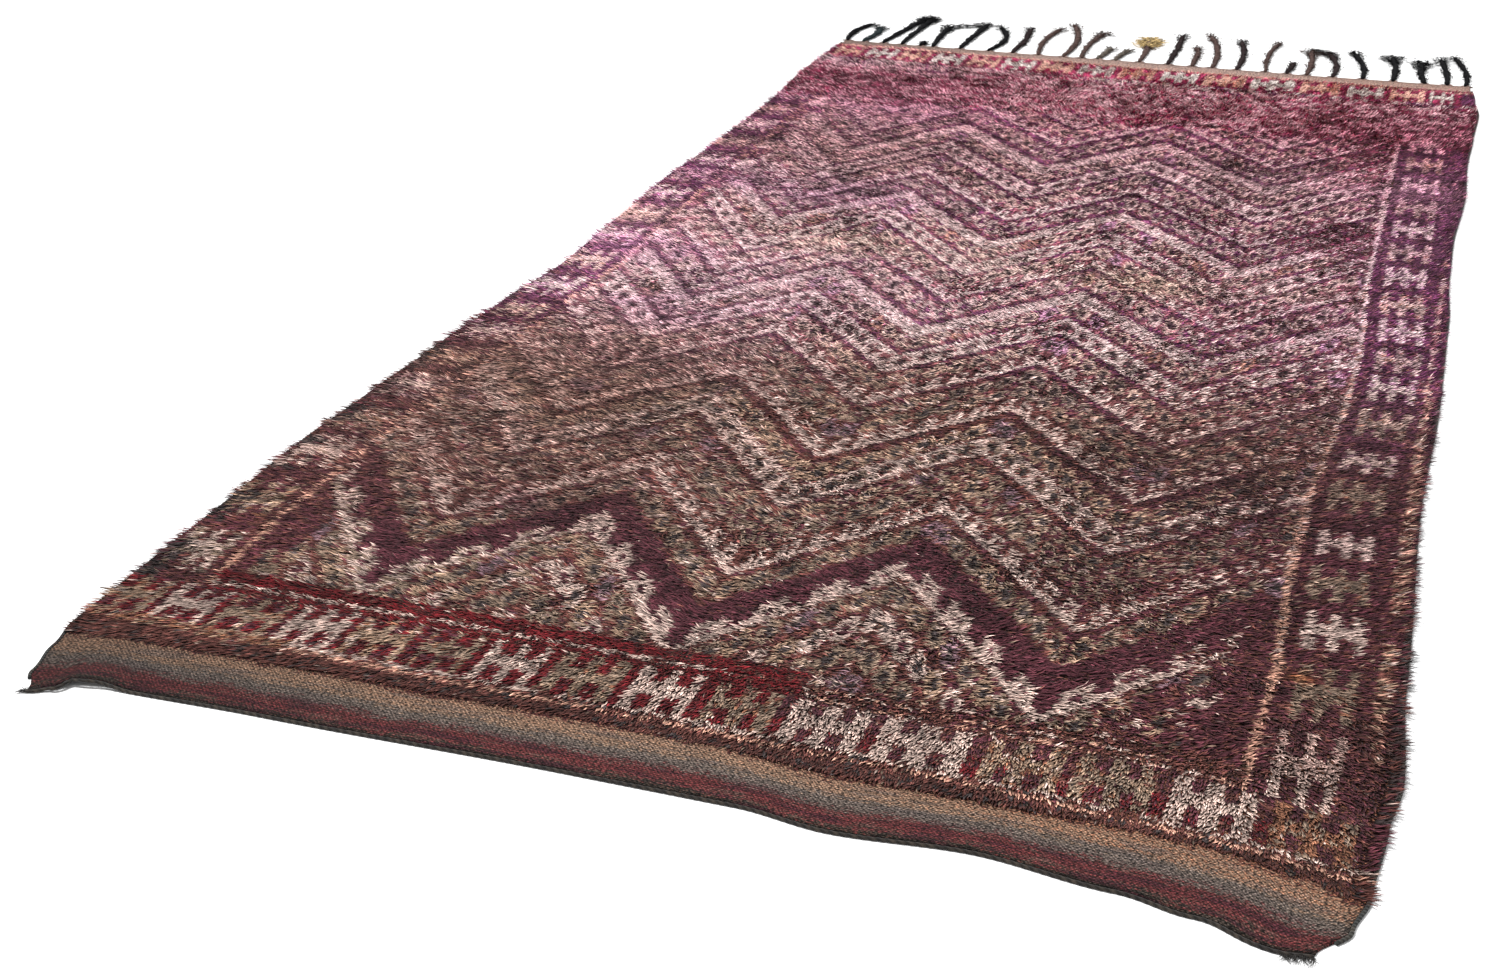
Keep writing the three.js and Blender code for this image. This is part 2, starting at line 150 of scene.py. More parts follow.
# Tassels: place across, reach, drift, bow, width, how much they open at the head, and their wool
TASSELS = (
    (-0.850, 0.222, 0.020, -0.014, 0.013, 0.6, "black"),
    (-0.804, 0.190, 0.003, 0.012, 0.014, 1.2, "teal"),
    (-0.745, 0.353, 0.044, 0.010, 0.014, 1.5, "black"),
    (-0.690, 0.350, 0.010, 0, 0.014, 1.5, "black"),
    (-0.634, 0.034, 0.004, 0, 0.012, 0.8, "black"),
    (-0.598, 0.258, -0.012, -0.006, 0.014, 1.6, "black"),
    (-0.520, 0.327, 0.013, 0, 0.014, 0.8, "black"),
    (-0.438, 0.311, -0.040, 0.026, 0.013, 0.7, "black"),
    (-0.370, 0.314, -0.013, 0.008, 0.014, 0.8, "umber"),
    (-0.294, 0.340, 0.003, -0.018, 0.013, 0.9, "brown"),
    (-0.226, 0.405, -0.048, 0.014, 0.014, 0.7, "brown"),
    (-0.174, 0.320, 0.014, -0.010, 0.013, 1.4, "brown"),
    (-0.128, 0.137, 0.016, 0.005, 0.012, 0.6, "grey"),
    (-0.079, 0.131, 0.023, 0, 0.012, 0.6, "grey"),
    (-0.013, 0.281, -0.014, 0.002, 0.014, 4.2, "cream"),
    (0.065, 0.366, -0.010, 0.002, 0.014, 0.7, "umber"),
    (0.131, 0.229, -0.016, 0.002, 0.013, 0.6, "brown"),
    (0.187, 0.392, -0.062, 0.004, 0.014, 0.7, "brown"),
    (0.252, 0.356, -0.033, 0.006, 0.014, 0.8, "umber"),
    (0.331, 0.356, 0, -0.013, 0.010, 0.6, "brown"),
    (0.386, 0.124, 0.007, 0.003, 0.012, 0.5, "umber"),
    (0.438, 0.294, -0.016, 0.006, 0.013, 1.7, "brown"),
    (0.507, 0.268, -0.033, 0.008, 0.014, 1.2, "umber"),
    (0.586, 0.304, -0.052, 0.002, 0.014, 0.9, "black"),
    (0.664, 0.278, -0.020, 0.004, 0.015, 2.0, "black"),
    (0.746, 0.235, -0.016, -0.012, 0.015, 2.1, "black"),
    (0.804, 0.297, -0.033, -0.002, 0.014, 0.9, "black"),
    (0.852, 0.327, -0.050, 0.004, 0.013, 0.7, "black"),
)

# Where two tassels are matted together at their heads: from one place in the plan to another
TASSEL_BRIDGES = (
    ((-0.610, 4.045), (-0.515, 4.105)), ((-0.705, 4.085), (-0.682, 4.140)),
    ((0.425, 4.095), (0.478, 4.080)),
)

# The chevrons: where their turns lie across the rug and how high they rise, for a few places along it
TURNS_ALONG = (0.2, 0.45, 0.85, 1.15, 1.85)
TURNS = (
    (0.046, 0.040, 0.052, 0.075, 0.075),
    (0.173, 0.175, 0.180, 0.190, 0.188),
    (0.310, 0.312, 0.312, 0.317, 0.308),
    (0.453, 0.457, 0.458, 0.466, 0.465),
    (0.600, 0.602, 0.612, 0.600, 0.600),
    (0.757, 0.758, 0.767, 0.774, 0.760),
    (0.900, 0.905, 0.913, 0.905, 0.905),
    (1.050, 1.050, 1.060, 1.060, 1.060),
)
RISES = (0.190, 0.176, 0.167, 0.170, 0.180)
LEVELS = (
    (0.010, 0.040, 0.010, 0.000, 0.000),
    (0.012, 0.032, 0.010, 0.000, 0.000),
    (0.004, 0.006, 0.000, 0.000, 0.000),
    (0.006, 0.000, 0.000, 0.000, 0.006),
    (0.004, 0.000, 0.004, 0.000, 0.000),
    (-0.002, 0.000, 0.000, 0.002, -0.006),
    (-0.014, -0.008, 0.000, 0.000, 0.000),
    (0.000, 0.000, 0.000, 0.000, 0.000),
)

# The pattern's tones, and the settings that hold the wool of each
PLUM, BROWN, SAGE, LIGHT, ORANGE, DEEP, RED, CREAM, PEACH, MAGENTA, LILAC = range(11)
WOOLS = ("plum", "brown", "sage", "light", "orange", "deep", "red", "cream", "peach", "magenta", "lilac")

# Bands of the field, from a chevron's valley upward: where each starts, its motif, ground and figure
FIRST_BANDS = (
    (-0.361, "rosettes", BROWN, SAGE),
    (0.199, "bold hooks", PLUM, LIGHT),
    (0.241, "plain", PLUM, PLUM),
    (0.286, "rosettes", BROWN, SAGE),
    (0.336, "plain", BROWN, PLUM),
    (0.346, "hooks", BROWN, LIGHT),
    (0.390, "rosettes", BROWN, SAGE),
    (0.446, "rosettes", BROWN, SAGE),
    (0.474, "plain", BROWN, PLUM),
    (0.490, "ladder", BROWN, LIGHT),
    (0.538, "rosettes", BROWN, CREAM),
    (0.586, "plain", BROWN, PLUM),
    (0.604, "hooks", BROWN, LIGHT),
    (0.642, "rosettes", BROWN, SAGE),
    (0.724, "plain", PLUM, BROWN),
)

# Where each repeat of the bands starts, where the last one ends, and the length that its rows are set for
REPEAT_STARTS = (0.738, 1.064, 1.367, 1.712)
REPEAT_END = 2.060
REPEAT_LENGTH = 0.327
REPEAT_BANDS = (
    (0.000, "hooks", BROWN, LIGHT),
    (0.036, "rosettes", BROWN, CREAM),
    (0.086, "plain", PLUM, BROWN),
    (0.096, "ladder", DEEP, LIGHT),
    (0.146, "plain", BROWN, PLUM),
    (0.156, "rosettes", BROWN, CREAM),
    (0.200, "hooks", SAGE, LIGHT),
    (0.236, "plain", PLUM, BROWN),
    (0.248, "rosettes", BROWN, SAGE),
    (0.314, "plain", PLUM, BROWN),
)

# A rosette's width and the usual length of its row, and the ladder's pitch, in pattern units
ROSETTE_WIDE = 0.0195
ROSETTE_ROW = 0.050
LADDER_PITCH = 0.0200

# The size of a knot in pattern units, and how far a lock is drawn to the middle of its knot on the chart
KNOT = 0.0042
STEPPED = 0.6

# The near red: how far across the comb row's and the band's go, and how far along the band does
RED_COMBS_END = 0.56
RED_BAND_END = 0.575
RED_BAND_FAR = 0.2165

# The far comb row: its foot, how much farther it lies at the right, and the height of its combs
FAR_COMB_FOOT = 2.124
FAR_COMB_RISE = 0.007
FAR_COMB_HIGH = 0.065

# A comb's gap to its neighbour and the width of each of its two notches
COMB_GAP = 0.0050
COMB_NOTCH = 0.0112

# The right side past its combs: the middle of the pale rim, and where the dark edge locks start
RIGHT_RIM = 1.003
RIGHT_BRINK = 1.0115

# The near comb row: where the gaps between its combs lie, and the tone of the comb after each
NEAR_COMBS = (
    (-0.040, CREAM), (0.0215, LIGHT), (0.076, SAGE), (0.138, LIGHT), (0.197, CREAM), (0.259, SAGE),
    (0.314, LIGHT), (0.373, SAGE), (0.442, LIGHT), (0.506, SAGE), (0.572, LIGHT), (0.644, LIGHT),
    (0.7245, CREAM), (0.794, SAGE), (0.863, LIGHT), (0.935, ORANGE), (1.003, PLUM), (1.100, PLUM),
)
NEAR_COMB_FOOT = (
    (-0.05, 0.124), (0.2, 0.122), (0.5, 0.119), (0.7, 0.114), (0.86, 0.107), (0.92, 0.100),
    (1.0, 0.085),
)
NEAR_COMB_TOP = (
    (-0.05, 0.184), (0.45, 0.186), (0.6, 0.176), (0.8, 0.172), (0.88, 0.168), (0.94, 0.158),
    (1.0, 0.142),
)

FAR_COMBS = (
    (-0.060, PLUM), (-0.004, PEACH), (0.048, LIGHT), (0.105, PEACH), (0.161, LIGHT), (0.220, PEACH),
    (0.277, LIGHT), (0.336, PEACH), (0.400, LIGHT), (0.465, PEACH), (0.531, LIGHT), (0.598, PEACH),
    (0.671, LIGHT), (0.747, PEACH), (0.817, LIGHT), (0.881, PEACH), (0.941, LIGHT), (0.985, PLUM),
    (1.100, PLUM),
)

# The combs up the two borders: where the middle of each lies along the rug, its half height and its tone
LEFT_COMBS = (
    (0.245, 0.038, LIGHT), (0.350, 0.036, CREAM), (0.462, 0.038, LIGHT), (0.545, 0.030, SAGE),
    (0.640, 0.033, LIGHT), (0.722, 0.026, CREAM), (0.808, 0.026, LIGHT), (0.880, 0.024, CREAM),
    (0.966, 0.032, LIGHT), (1.063, 0.032, CREAM), (1.160, 0.034, LIGHT), (1.250, 0.034, CREAM),
    (1.340, 0.030, LIGHT), (1.425, 0.028, CREAM), (1.505, 0.030, LIGHT), (1.600, 0.028, CREAM),
    (1.690, 0.030, LIGHT), (1.780, 0.028, CREAM), (1.870, 0.028, LIGHT), (2.087, 0.022, LIGHT),
)
RIGHT_COMBS = (
    (0.202, 0.052, LIGHT), (0.314, 0.043, SAGE), (0.415, 0.032, LIGHT), (0.500, 0.032, SAGE),
    (0.580, 0.026, LIGHT), (0.684, 0.036, SAGE), (0.764, 0.025, LIGHT), (0.862, 0.036, SAGE),
    (0.957, 0.034, LIGHT), (1.040, 0.034, SAGE), (1.130, 0.036, LIGHT), (1.217, 0.038, CREAM),
    (1.316, 0.034, LIGHT), (1.409, 0.034, CREAM), (1.500, 0.034, LIGHT), (1.590, 0.034, SAGE),
    (1.694, 0.034, LIGHT), (1.794, 0.034, CREAM), (1.886, 0.032, LIGHT), (1.990, 0.032, SAGE),
    (2.073, 0.024, LIGHT),
)
LEFT_LINE = (
    (0.10, 0.044), (0.25, 0.041), (0.35, 0.034), (0.48, 0.035), (0.60, 0.042), (0.70, 0.046),
    (0.80, 0.052), (0.90, 0.057), (1.06, 0.063), (1.16, 0.0615), (1.26, 0.056), (2.2, 0.058),
)
RIGHT_LINE = (
    (0.10, 0.914), (0.25, 0.917), (0.35, 0.919), (0.42, 0.916), (0.50, 0.912), (0.60, 0.911),
    (0.70, 0.913), (0.82, 0.921), (0.93, 0.927), (1.06, 0.928), (1.15, 0.924), (1.25, 0.919),
    (1.5, 0.916), (2.2, 0.914),
)

# Each border: its combs, its line, where its combs start and their width, where its line is there
BORDERS = (
    (LEFT_COMBS, LEFT_LINE, -0.020, 0.055, 0.046),
    (RIGHT_COMBS, RIGHT_LINE, 0.9310, 0.0560, 0.918),
)

# A lock's corners are its root, a left and a right point and its tip: the faces of a folded leaf, and of
# one that is closed all round
FOLDED = np.array([[0, 2, 3], [0, 3, 1]])
CLOSED = np.array([[0, 2, 1], [1, 2, 3], [0, 1, 3], [0, 3, 2]])

# The share of a lock's length at which it shows on the chart
LOCK_SHOWS = 0.45

# How far along a lock of the pile and a lock of a tassel its widest place lies
LEAF_WAIST = 0.34
TASSEL_WAIST = 0.45

# The strip of the cloth's sides in which the locks are ragged and stand higher
SIDE_ZONE = 0.022

# How high the locks' roots and tips lie over the cloth's underside
ROOT_HEIGHT = 0.0040
TIP_HEIGHT = 0.0078

# How high the middle lines of the side cords, the near cord, the far strip and the tassels lie
SIDE_CORD_HEIGHT = 0.0027
END_CORD_HEIGHT = 0.0023
FAR_STRIP_HEIGHT = 0.0017
TASSEL_HEIGHT = 0.0050

# The far strip's radius, and how many times a tassel's width in its row it is with its loose wool
FAR_STRIP_RADIUS = 0.0028
TASSEL_LOOSE = 1.6

# How far one turn of the overcast yarn, of the twined end and of the far strip goes
OVERCAST_PITCH = 0.0062
TWINED_PITCH = 0.0115
FAR_STRIP_PITCH = 0.012
CORD_SIDES = 7

# How likely a knot of each tone is to stray, and the tones that it strays to with their shares
STRAY_CHANCES = np.array([0.03, 0.06, 0.05, 0.02, 0.04, 0.04, 0.02, 0.04, 0.02, 0.03, 0.04])
STRAY_TONES = ((BROWN, 0.34), (SAGE, 0.22), (PLUM, 0.22), (LIGHT, 0.14), (DEEP, 0.08))

# The flat weave's stripes along the rug: the first third is the near weave, the last third the far one,
# and the middle third under the pile is dark brown, partly painted shade seen between the locks
STRIPES = (
    (0.000, (44, 38, 34)), (0.016, (66, 56, 48)), (0.028, (92, 66, 58)), (0.036, (112, 58, 56)),
    (0.070, (104, 44, 46)), (0.116, (102, 56, 54)), (0.134, (104, 90, 84)), (0.185, (112, 100, 92)),
    (0.212, (146, 118, 98)), (0.295, (156, 122, 100)), (0.308, (88, 44, 42)), (0.335, (78, 38, 38)),
    (0.355, (46, 30, 32)), (0.640, (46, 30, 32)), (0.672, (96, 42, 46)), (0.700, (96, 42, 46)),
    (0.735, (206, 172, 160)), (0.960, (190, 160, 148)), (0.990, (130, 108, 100)),
)

# The yarn of the side cords and of the near end, mottled from the first tone to the last
SIDE_YARN = (
    (0.30, (30, 26, 26)), (0.42, (66, 60, 52)), (0.50, (44, 46, 44)), (0.58, (32, 26, 26)),
    (0.72, (78, 54, 46)),
)
END_YARN = ((0.30, (22, 20, 20)), (0.45, (52, 46, 40)), (0.55, (34, 31, 30)), (0.7, (62, 54, 46)))

# The side cords: name, solid, edge, which way is out, and how far each start and end is moved along
SIDE_CORDS = (
    ("side_cord_left", "selvedge_left", LEFT_EDGE, -1, 0.0, 0.0),
    ("side_cord_right", "selvedge_right", RIGHT_EDGE, 1, -0.008, 0.02),
)

# The frayed corners: which end of the near cord, how many of its rings, the way out and how many fibres
FRAYED = ((0, 8, np.pi * 1.04, 46), (-1, 13, -np.pi / 2, 64))

# Soft lights: name, place, size and power, each turned to the middle of the rug, and the air's light
LAMPS = (("key light", (-5.0, -3.0, 9.5), 2.6, 1650.0), ("far light", (2.0, 5.5, 4.0), 3.0, 120.0))
AIR_STRENGTH = 0.68

# The camera, as found from the rug's corners: its lens, its place and its three axes
CAMERA_LENS = 50.23
CAMERA_PLACE = (0.8588, -4.0353, 1.4445)
CAMERA_AXES = ((0.9442, 0.3294, -0.0011), (-0.1408, 0.4067, 0.9027), (0.2978, -0.8521, 0.4303))

# How far a loose fibre bows up, and the rings it is made of
FIBRE_RISE = 0.0006
FIBRE_RINGS = 4

# How much of the light reaches a lock's root
ROOT_SHADE = 0.14

# How far the wool is felted along the rug, most of all at its left side
FELTED = (
    (0.42, 0.2), (0.60, 0.7), (0.84, 0.7), (0.92, 0.2), (1.32, 0.2), (1.45, 0.6), (1.75, 0.6),
    (1.9, 0.8),
)

# The light of the wool for which a glow's shade is meant, and the brightest that a wool's channel gets
USUAL_LIGHT = 0.26
BRIGHTEST = 1.05

# How the wools change along the rug, partly dye and partly a painted sheen that is brightest from 1.0 to
# 1.4 along: where, and times how much in red, green and blue
DYE_AND_SHEEN_ALONG = (
    (0.10, 0.94, 0.90, 0.87), (0.55, 1.03, 0.98, 0.96), (0.80, 1.07, 1.00, 0.98),
    (1.00, 1.48, 1.44, 1.42), (1.25, 1.62, 1.56, 1.54), (1.40, 1.36, 1.27, 1.29),
    (1.65, 1.18, 1.05, 1.08), (1.90, 1.42, 1.10, 1.20), (2.10, 1.50, 1.26, 1.34),
    (2.13, 2.55, 2.80, 2.70),
)

# How each wool's far dye lot differs from its near one, and how much each takes of the change along the
# rug with its painted sheen
FAR_LOT = np.array([
    (1.48, 1.20, 2.45), (1.45, 1.36, 2.05), (1.40, 1.34, 1.7), (1.30, 1.32, 1.42), (1.3, 1.45, 1.9),
    (1.7, 1.1, 1.4), (1.2, 1.0, 1.4), (1.40, 1.42, 1.75), (1.30, 1.22, 1.35), (1.20, 0.85, 1.2),
    (1.6, 1.4, 1.7),
])
DYE_AND_SHEEN_SHARES = np.array([0.4, 1.1, 1.6, 1.6, 1.2, 0.3, 0.5, 1.8, 1.1, 0.5, 1.5])

# Places where the dye runs to another shade: across, along, reach, screen colour and strength
GLOWS = (
    (0.300, 1.215, 0.070, (224, 196, 172), 0.40),
    (0.490, 1.205, 0.070, (212, 186, 172), 0.35),
    (0.670, 1.190, 0.070, (226, 198, 166), 0.45),
    (0.840, 1.215, 0.060, (206, 180, 164), 0.30),
    (0.005, 1.240, 0.035, (226, 190, 158), 0.50),
    (0.230, 1.060, 0.240, (190, 152, 166), 0.35),
    (0.060, 1.130, 0.080, (172, 112, 150), 0.50),
    (0.170, 0.930, 0.090, (142, 96, 124), 0.50),
    (0.040, 1.430, 0.080, (156, 96, 136), 0.50),
    (0.230, 1.410, 0.130, (136, 92, 116), 0.60),
    (0.160, 1.620, 0.210, (126, 84, 88), 0.60),
    (0.200, 0.810, 0.150, (138, 96, 102), 0.50),
    (0.965, 1.150, 0.300, (114, 64, 96), 0.35),
    (0.960, 0.620, 0.200, (86, 50, 66), 0.30),
    (0.110, 0.700, 0.200, (134, 96, 86), 0.60),
    (0.160, 0.500, 0.200, (128, 86, 80), 0.50),
    (0.970, 0.240, 0.090, (102, 60, 58), 0.45),
    (0.840, 0.740, 0.160, (108, 80, 74), 0.45),
    (0.200, 1.840, 0.120, (158, 102, 130), 0.45),
    (0.950, 1.420, 0.160, (122, 80, 104), 0.45),
    (0.960, 1.660, 0.140, (196, 138, 160), 0.50),
    (0.030, 1.250, 0.120, (206, 160, 168), 0.40),
    (0.930, 1.940, 0.200, (124, 54, 76), 0.70),
    (0.140, 1.970, 0.200, (140, 76, 96), 0.50),
    (0.930, 0.880, 0.120, (108, 84, 80), 0.45),
    (0.700, 1.640, 0.200, (146, 112, 118), 0.30),
    (0.230, 0.420, 0.050, (92, 44, 66), 0.45),
    (0.940, 0.334, 0.014, (190, 112, 62), 0.60),
)


def smooth(share):
    """Eases a share from 0 to 1 with level ends: 3 s squared less 2 s cubed."""
    return share * share * (3 - 2 * share)


def ramp(at, *stops):
    """A value that runs in straight lines from stop to stop, each one a place and the value there."""
    places, values = zip(*stops)
    return np.interp(at, places, values)


def hill(distance, power):
    """1 at no distance, and less round it: e to the power of minus the distance, itself to that power."""
    return np.exp(-(distance**power))


def lookup(table, at):
    """The second column of a table where its first is at, eased from row to row."""
    stops, values = np.array(table, dtype=float).T
    at = np.asarray(at, dtype=float)
    row = np.clip(np.searchsorted(stops, at, side="right") - 1, 0, len(stops) - 2)
    share = np.clip((at - stops[row]) / (stops[row + 1] - stops[row]), 0, 1)
    return values[row] + (values[row + 1] - values[row]) * smooth(share)


def lift(x, y):
    """How high the cloth's underside lies: each ripple adds its height times two eased tents."""
    height = np.zeros(np.broadcast(x, y).shape)
    for across, along, half_across, half_along, high, skew in RIPPLES:
        tent_across = np.clip(1 - np.abs(x - across) / half_across, 0, 1)
        tent_along = np.clip(1 - np.abs(y - along - skew * (x - across)) / half_along, 0, 1)
        height += high * smooth(tent_across) * smooth(tent_along)
    return height


def across_at(share, y):
    """The place across the rug at a share of its width, between the two uneven edges."""
    left, right = lookup(LEFT_EDGE, y), lookup(RIGHT_EDGE, y)
    return left + (right - left) * share


def cloth_plan(share, band):
    """A point of the cloth, at a share of its width.

    The band runs from 0 to 1 over the near flat weave, to 2 over the pile and to 3 over the far weave.
    """
    tables = (NEAR_EDGE, NEAR_PILE_LINE, FAR_PILE_LINE, FAR_EDGE)
    lines = [lookup(table, share) for table in tables]
    y = lines[0] * np.ones_like(band)
    for step in range(3):
        y = y + (lines[step + 1] - lines[step]) * np.clip(band - step, 0, 1)
    return across_at(share, y), y


def soft_noise(x, y, size, seed):
    """Smooth noise from 0 to 1: random values on a square grid of that size, eased between them."""
    grid = np.random.default_rng(seed).random((256, 256))
    column, row = np.asarray(x) / size + 64, np.asarray(y) / size + 64
    i, j = np.floor(column).astype(int), np.floor(row).astype(int)
    a, b = smooth(column - i), smooth(row - j)
    corner = lambda p, q: grid[(i + p) % 256, (j + q) % 256]
    near = corner(0, 0) * (1 - a) + corner(1, 0) * a
    far = corner(0, 1) * (1 - a) + corner(1, 1) * a
    return near * (1 - b) + far * b


def swing(x, y, size, seed):
    """Smooth noise from -0.5 to 0.5."""
    return soft_noise(x, y, size, seed) - 0.5


def linear(colour):
    """A 0 to 255 screen colour as linear light.

    A dark share is divided by 12.92, and any other is its sum with 0.055, over 1.055, to the power of 2.4.
    """
    share = np.asarray(colour, dtype=float) / 255
    return np.where(share <= 0.04045, share / 12.92, ((share + 0.055) / 1.055) ** 2.4)


def rise_and_turns(base):
    """For a valley's place: how high its chevron rises, where it turns, and how far out of line."""
    turns = np.stack([np.interp(base, TURNS_ALONG, row) for row in TURNS])
    levels = np.stack([np.interp(base, TURNS_ALONG, row) for row in LEVELS])
    return np.interp(base, TURNS_ALONG, RISES), turns, levels


def chevron(u, v):
    """The valley that belongs to a knot, and the knot's distance across from the nearest valley.

    A chevron climbs in straight lines from each valley to the peaks beside it, so its valley is v less the
    rise times the share of the way to the peak. The rise depends a little on the valley, hence the rounds.
    """
    base = np.array(v)
    arm = np.zeros_like(base)
    for _ in range(5):
        rise, turns, levels = rise_and_turns(base)
        way = np.zeros_like(base)
        level = np.zeros_like(base)
        for turn in range(len(TURNS) - 1):
            inside = (u >= turns[turn]) & (u < turns[turn + 1])
            share = (u - turns[turn]) / (turns[turn + 1] - turns[turn])
            climbing = turn % 2 == 1
            way = np.where(inside, share if climbing else 1 - share, way)
            level = np.where(inside, levels[turn] + (levels[turn + 1] - levels[turn]) * share, level)
            valley = turns[turn] if climbing else turns[turn + 1]
            arm = np.where(inside, np.abs(u - valley), arm)
        base = v - rise * way - level
    return base, arm


def all_bands():
    """The field's bands: their starts, lengths, motifs and tones.

    The first ones stand by themselves, and then come the repeats, each stretched to its own length.
    """
    rows = list(FIRST_BANDS)
    ends = (*REPEAT_STARTS[1:], REPEAT_END)
    for start, end in zip(REPEAT_STARTS, ends):
        stretch = (end - start) / REPEAT_LENGTH
        rows += [(start + offset * stretch, *rest) for offset, *rest in REPEAT_BANDS]
    rows.append((REPEAT_END, "rosettes", PLUM, CREAM))
    starts = np.array([row[0] for row in rows])
    lengths = np.append(np.diff(starts), 0.3)
    return starts, lengths, [row[1] for row in rows], np.array([row[2:] for row in rows])


def knot_luck(u, v, seed):
    """One random number for each knot, the same for all its locks."""
    table = np.random.default_rng(seed).random((512, 512))
    return table[np.floor(u / KNOT).astype(int) % 512, np.floor(v / KNOT).astype(int) % 512]


def field_tones(u, v):
    """The tone of each knot of the zigzag field."""
    base, arm = chevron(u, v)
    starts, lengths, motifs, tones = all_bands()
    band = np.clip(np.searchsorted(starts, base, side="right") - 1, 0, len(starts) - 1)
    over, length = base - starts[band], lengths[band]
    ground, figure = tones[band].T
    motif = np.array([sorted(MOTIFS).index(name) for name in motifs])[band]
    tone = np.array(ground)
    luck = knot_luck(u, v, 62)
    for number, name in enumerate(sorted(MOTIFS)):
        here = motif == number
        knots = [part[here] for part in (arm, over, length, ground, figure, luck)]
        tone[here] = MOTIFS[name](*knots)
    return tone


def cell_luck(column, row):
    """One random number for each cell of a pattern, the same for all its knots."""
    table = np.random.default_rng(61).random((128, 128))
    return table[column.astype(int) % 128, row.astype(int) % 128]


def plain_motif(arm, over, length, ground, figure, luck):
    """One tone, with a few knots of the other."""
    return np.where(luck < 0.36, figure, ground)


def hooks_motif(pitch, line_high, block_wide, block_high, eye_wide, eye_place):
    """Makes a motif: a solid line on the near side, and blocks with a dark eye that stand on it.

    The pitch is in pattern units, widths are shares of it, and heights and places shares of the band's.
    """
    def motif(arm, over, length, ground, figure, luck):
        phase = (arm / pitch + 0.75) % 1
        line = over < line_high * length
        block = (phase < block_wide) & (over < block_high * length)
        eye = (np.abs(phase - 0.30) < eye_wide) & (np.abs(over - eye_place * length) < 0.13 * length)
        return np.where((line | block) & ~eye, figure, ground)

    return motif


def ladder_motif(arm, over, length, ground, figure, luck):
    """Two light lines with dark-centred ovals between them."""
    phase = (arm / LADDER_PITCH) % 1 - 0.5
    away = (phase / 0.36) ** 2 + ((over - 0.5 * length) / (0.32 * length)) ** 2
    return np.select([away < 0.28, away < 1.0], [DEEP, np.where(luck < 0.45, SAGE, BROWN)], figure)


def mixed(luck, *shares, rest):
    """A tone for each knot: that of the first share which its luck is under, and otherwise the rest."""
    return np.select([luck < share for share, _ in shares], [tone for _, tone in shares], rest)


def rosettes_motif(arm, over, length, ground, figure, luck):
    """Rows of rosettes: a dark centre, a ring whose tone changes from one to the next, and an outline."""
    rows = np.maximum(1, np.round(length / ROSETTE_ROW))
    high = length / rows
    row = np.floor(over / high)
    cell = np.floor(arm / ROSETTE_WIDE)
    across = (arm / ROSETTE_WIDE - cell - 0.5) * 2
    up = (over / high - row - 0.5) * np.minimum(high / 0.0175, 2.1)
    away = across**2 + up**2
    chance = cell_luck(cell + 13 * np.round(100 * length), row + 5)
    pale_row = (row.astype(int) % 2 == 1) & (rows > 3)
    usual = np.where(pale_row, LIGHT, figure)
    ring = mixed(chance, (0.08, LILAC), (0.30, CREAM), (0.325, ORANGE), rest=usual)
    ring = np.select([luck < 0.09, luck > 0.94], [LIGHT, CREAM], ring)
    centre = np.where(chance > 0.80, PLUM, DEEP)
    outline = np.where(luck < 0.22, PLUM, ground)
    return np.select([away < 0.17, away < 0.82], [centre, ring], outline)


MOTIFS = {
    "plain": plain_motif,
    "hooks": hooks_motif(0.0215, 0.26, 0.62, 0.88, 0.12, 0.58),
    "bold hooks": hooks_motif(0.037, 0.34, 0.58, 0.95, 0.09, 0.52),
    "ladder": ladder_motif,
    "rosettes": rosettes_motif,
}


def comb_tones(across, width, up, figure, above, below, gap=COMB_GAP, notch=COMB_NOTCH):
    """A comb of three uprights joined at their middle.

    Across and width are in pattern units, and up runs from 0 at its foot to 1 at its top.
    """
    inside, wide = across - gap, width - 2 * gap
    post = (wide - 2 * notch) / 3
    first_notch = (inside > post) & (inside < post + notch)
    second_notch = (inside > 2 * post + notch) & (inside < 2 * post + 2 * notch)
    body = (inside > 0) & (inside < wide) & (up > 0) & (up < 1)
    bar = (up > 0.38) & (up < 0.67)
    solid = body & (~(first_notch | second_notch) | bar)
    return np.where(solid, figure, np.where(up > 0.5, above, below))


def flecked(tone, luck):
    """Mixed wool in the combs that aren't pale: sage with tan and some orange."""
    sage = mixed(luck, (0.16, CREAM), (0.22, ORANGE), (0.28, BROWN), rest=SAGE)
    tan = mixed(luck, (0.20, SAGE), (0.34, ORANGE), (0.42, LIGHT), rest=CREAM)
    orange = mixed(luck, (0.3, SAGE), rest=ORANGE)
    return np.select([tone == SAGE, tone == CREAM, tone == ORANGE], [sage, tan, orange], tone)


def comb_row(u, combs):
    """For each knot of a row of combs: where its comb starts and ends, gaps among them, and its tone."""
    gaps, figures = np.array(combs).T
    number = np.clip(np.searchsorted(gaps, u, side="right") - 1, 0, len(gaps) - 2)
    return gaps[number], gaps[number + 1], figures[number].astype(int)


def border_tones(u, v, tone, border, luck):
    """The combs of one border, on plum, beyond the line that parts them from the field.

    They go along with the line, by how far it is from where it lies at its usual place.
    """
    combs, stops, start, width, usual = border
    line = ramp(v, *stops)
    middle, half, figure = np.array(combs).T
    edges = (middle[1:] + middle[:-1]) / 2
    number = np.searchsorted(edges, v)
    up = (v - middle[number]) / half[number] / 2 + 0.5
    ground = mixed(luck, (0.2, BROWN), rest=PLUM)
    figure = flecked(figure[number].astype(int), luck)
    figure = np.where((figure == LIGHT) & (luck > 0.70) & (v > 0.6), LILAC, figure)
    comb = comb_tones(u - start - (line - usual), width, up, figure, ground, ground, 0.004)
    beyond = u < line if usual < 0.5 else u > line
    return np.where(beyond, comb, tone)


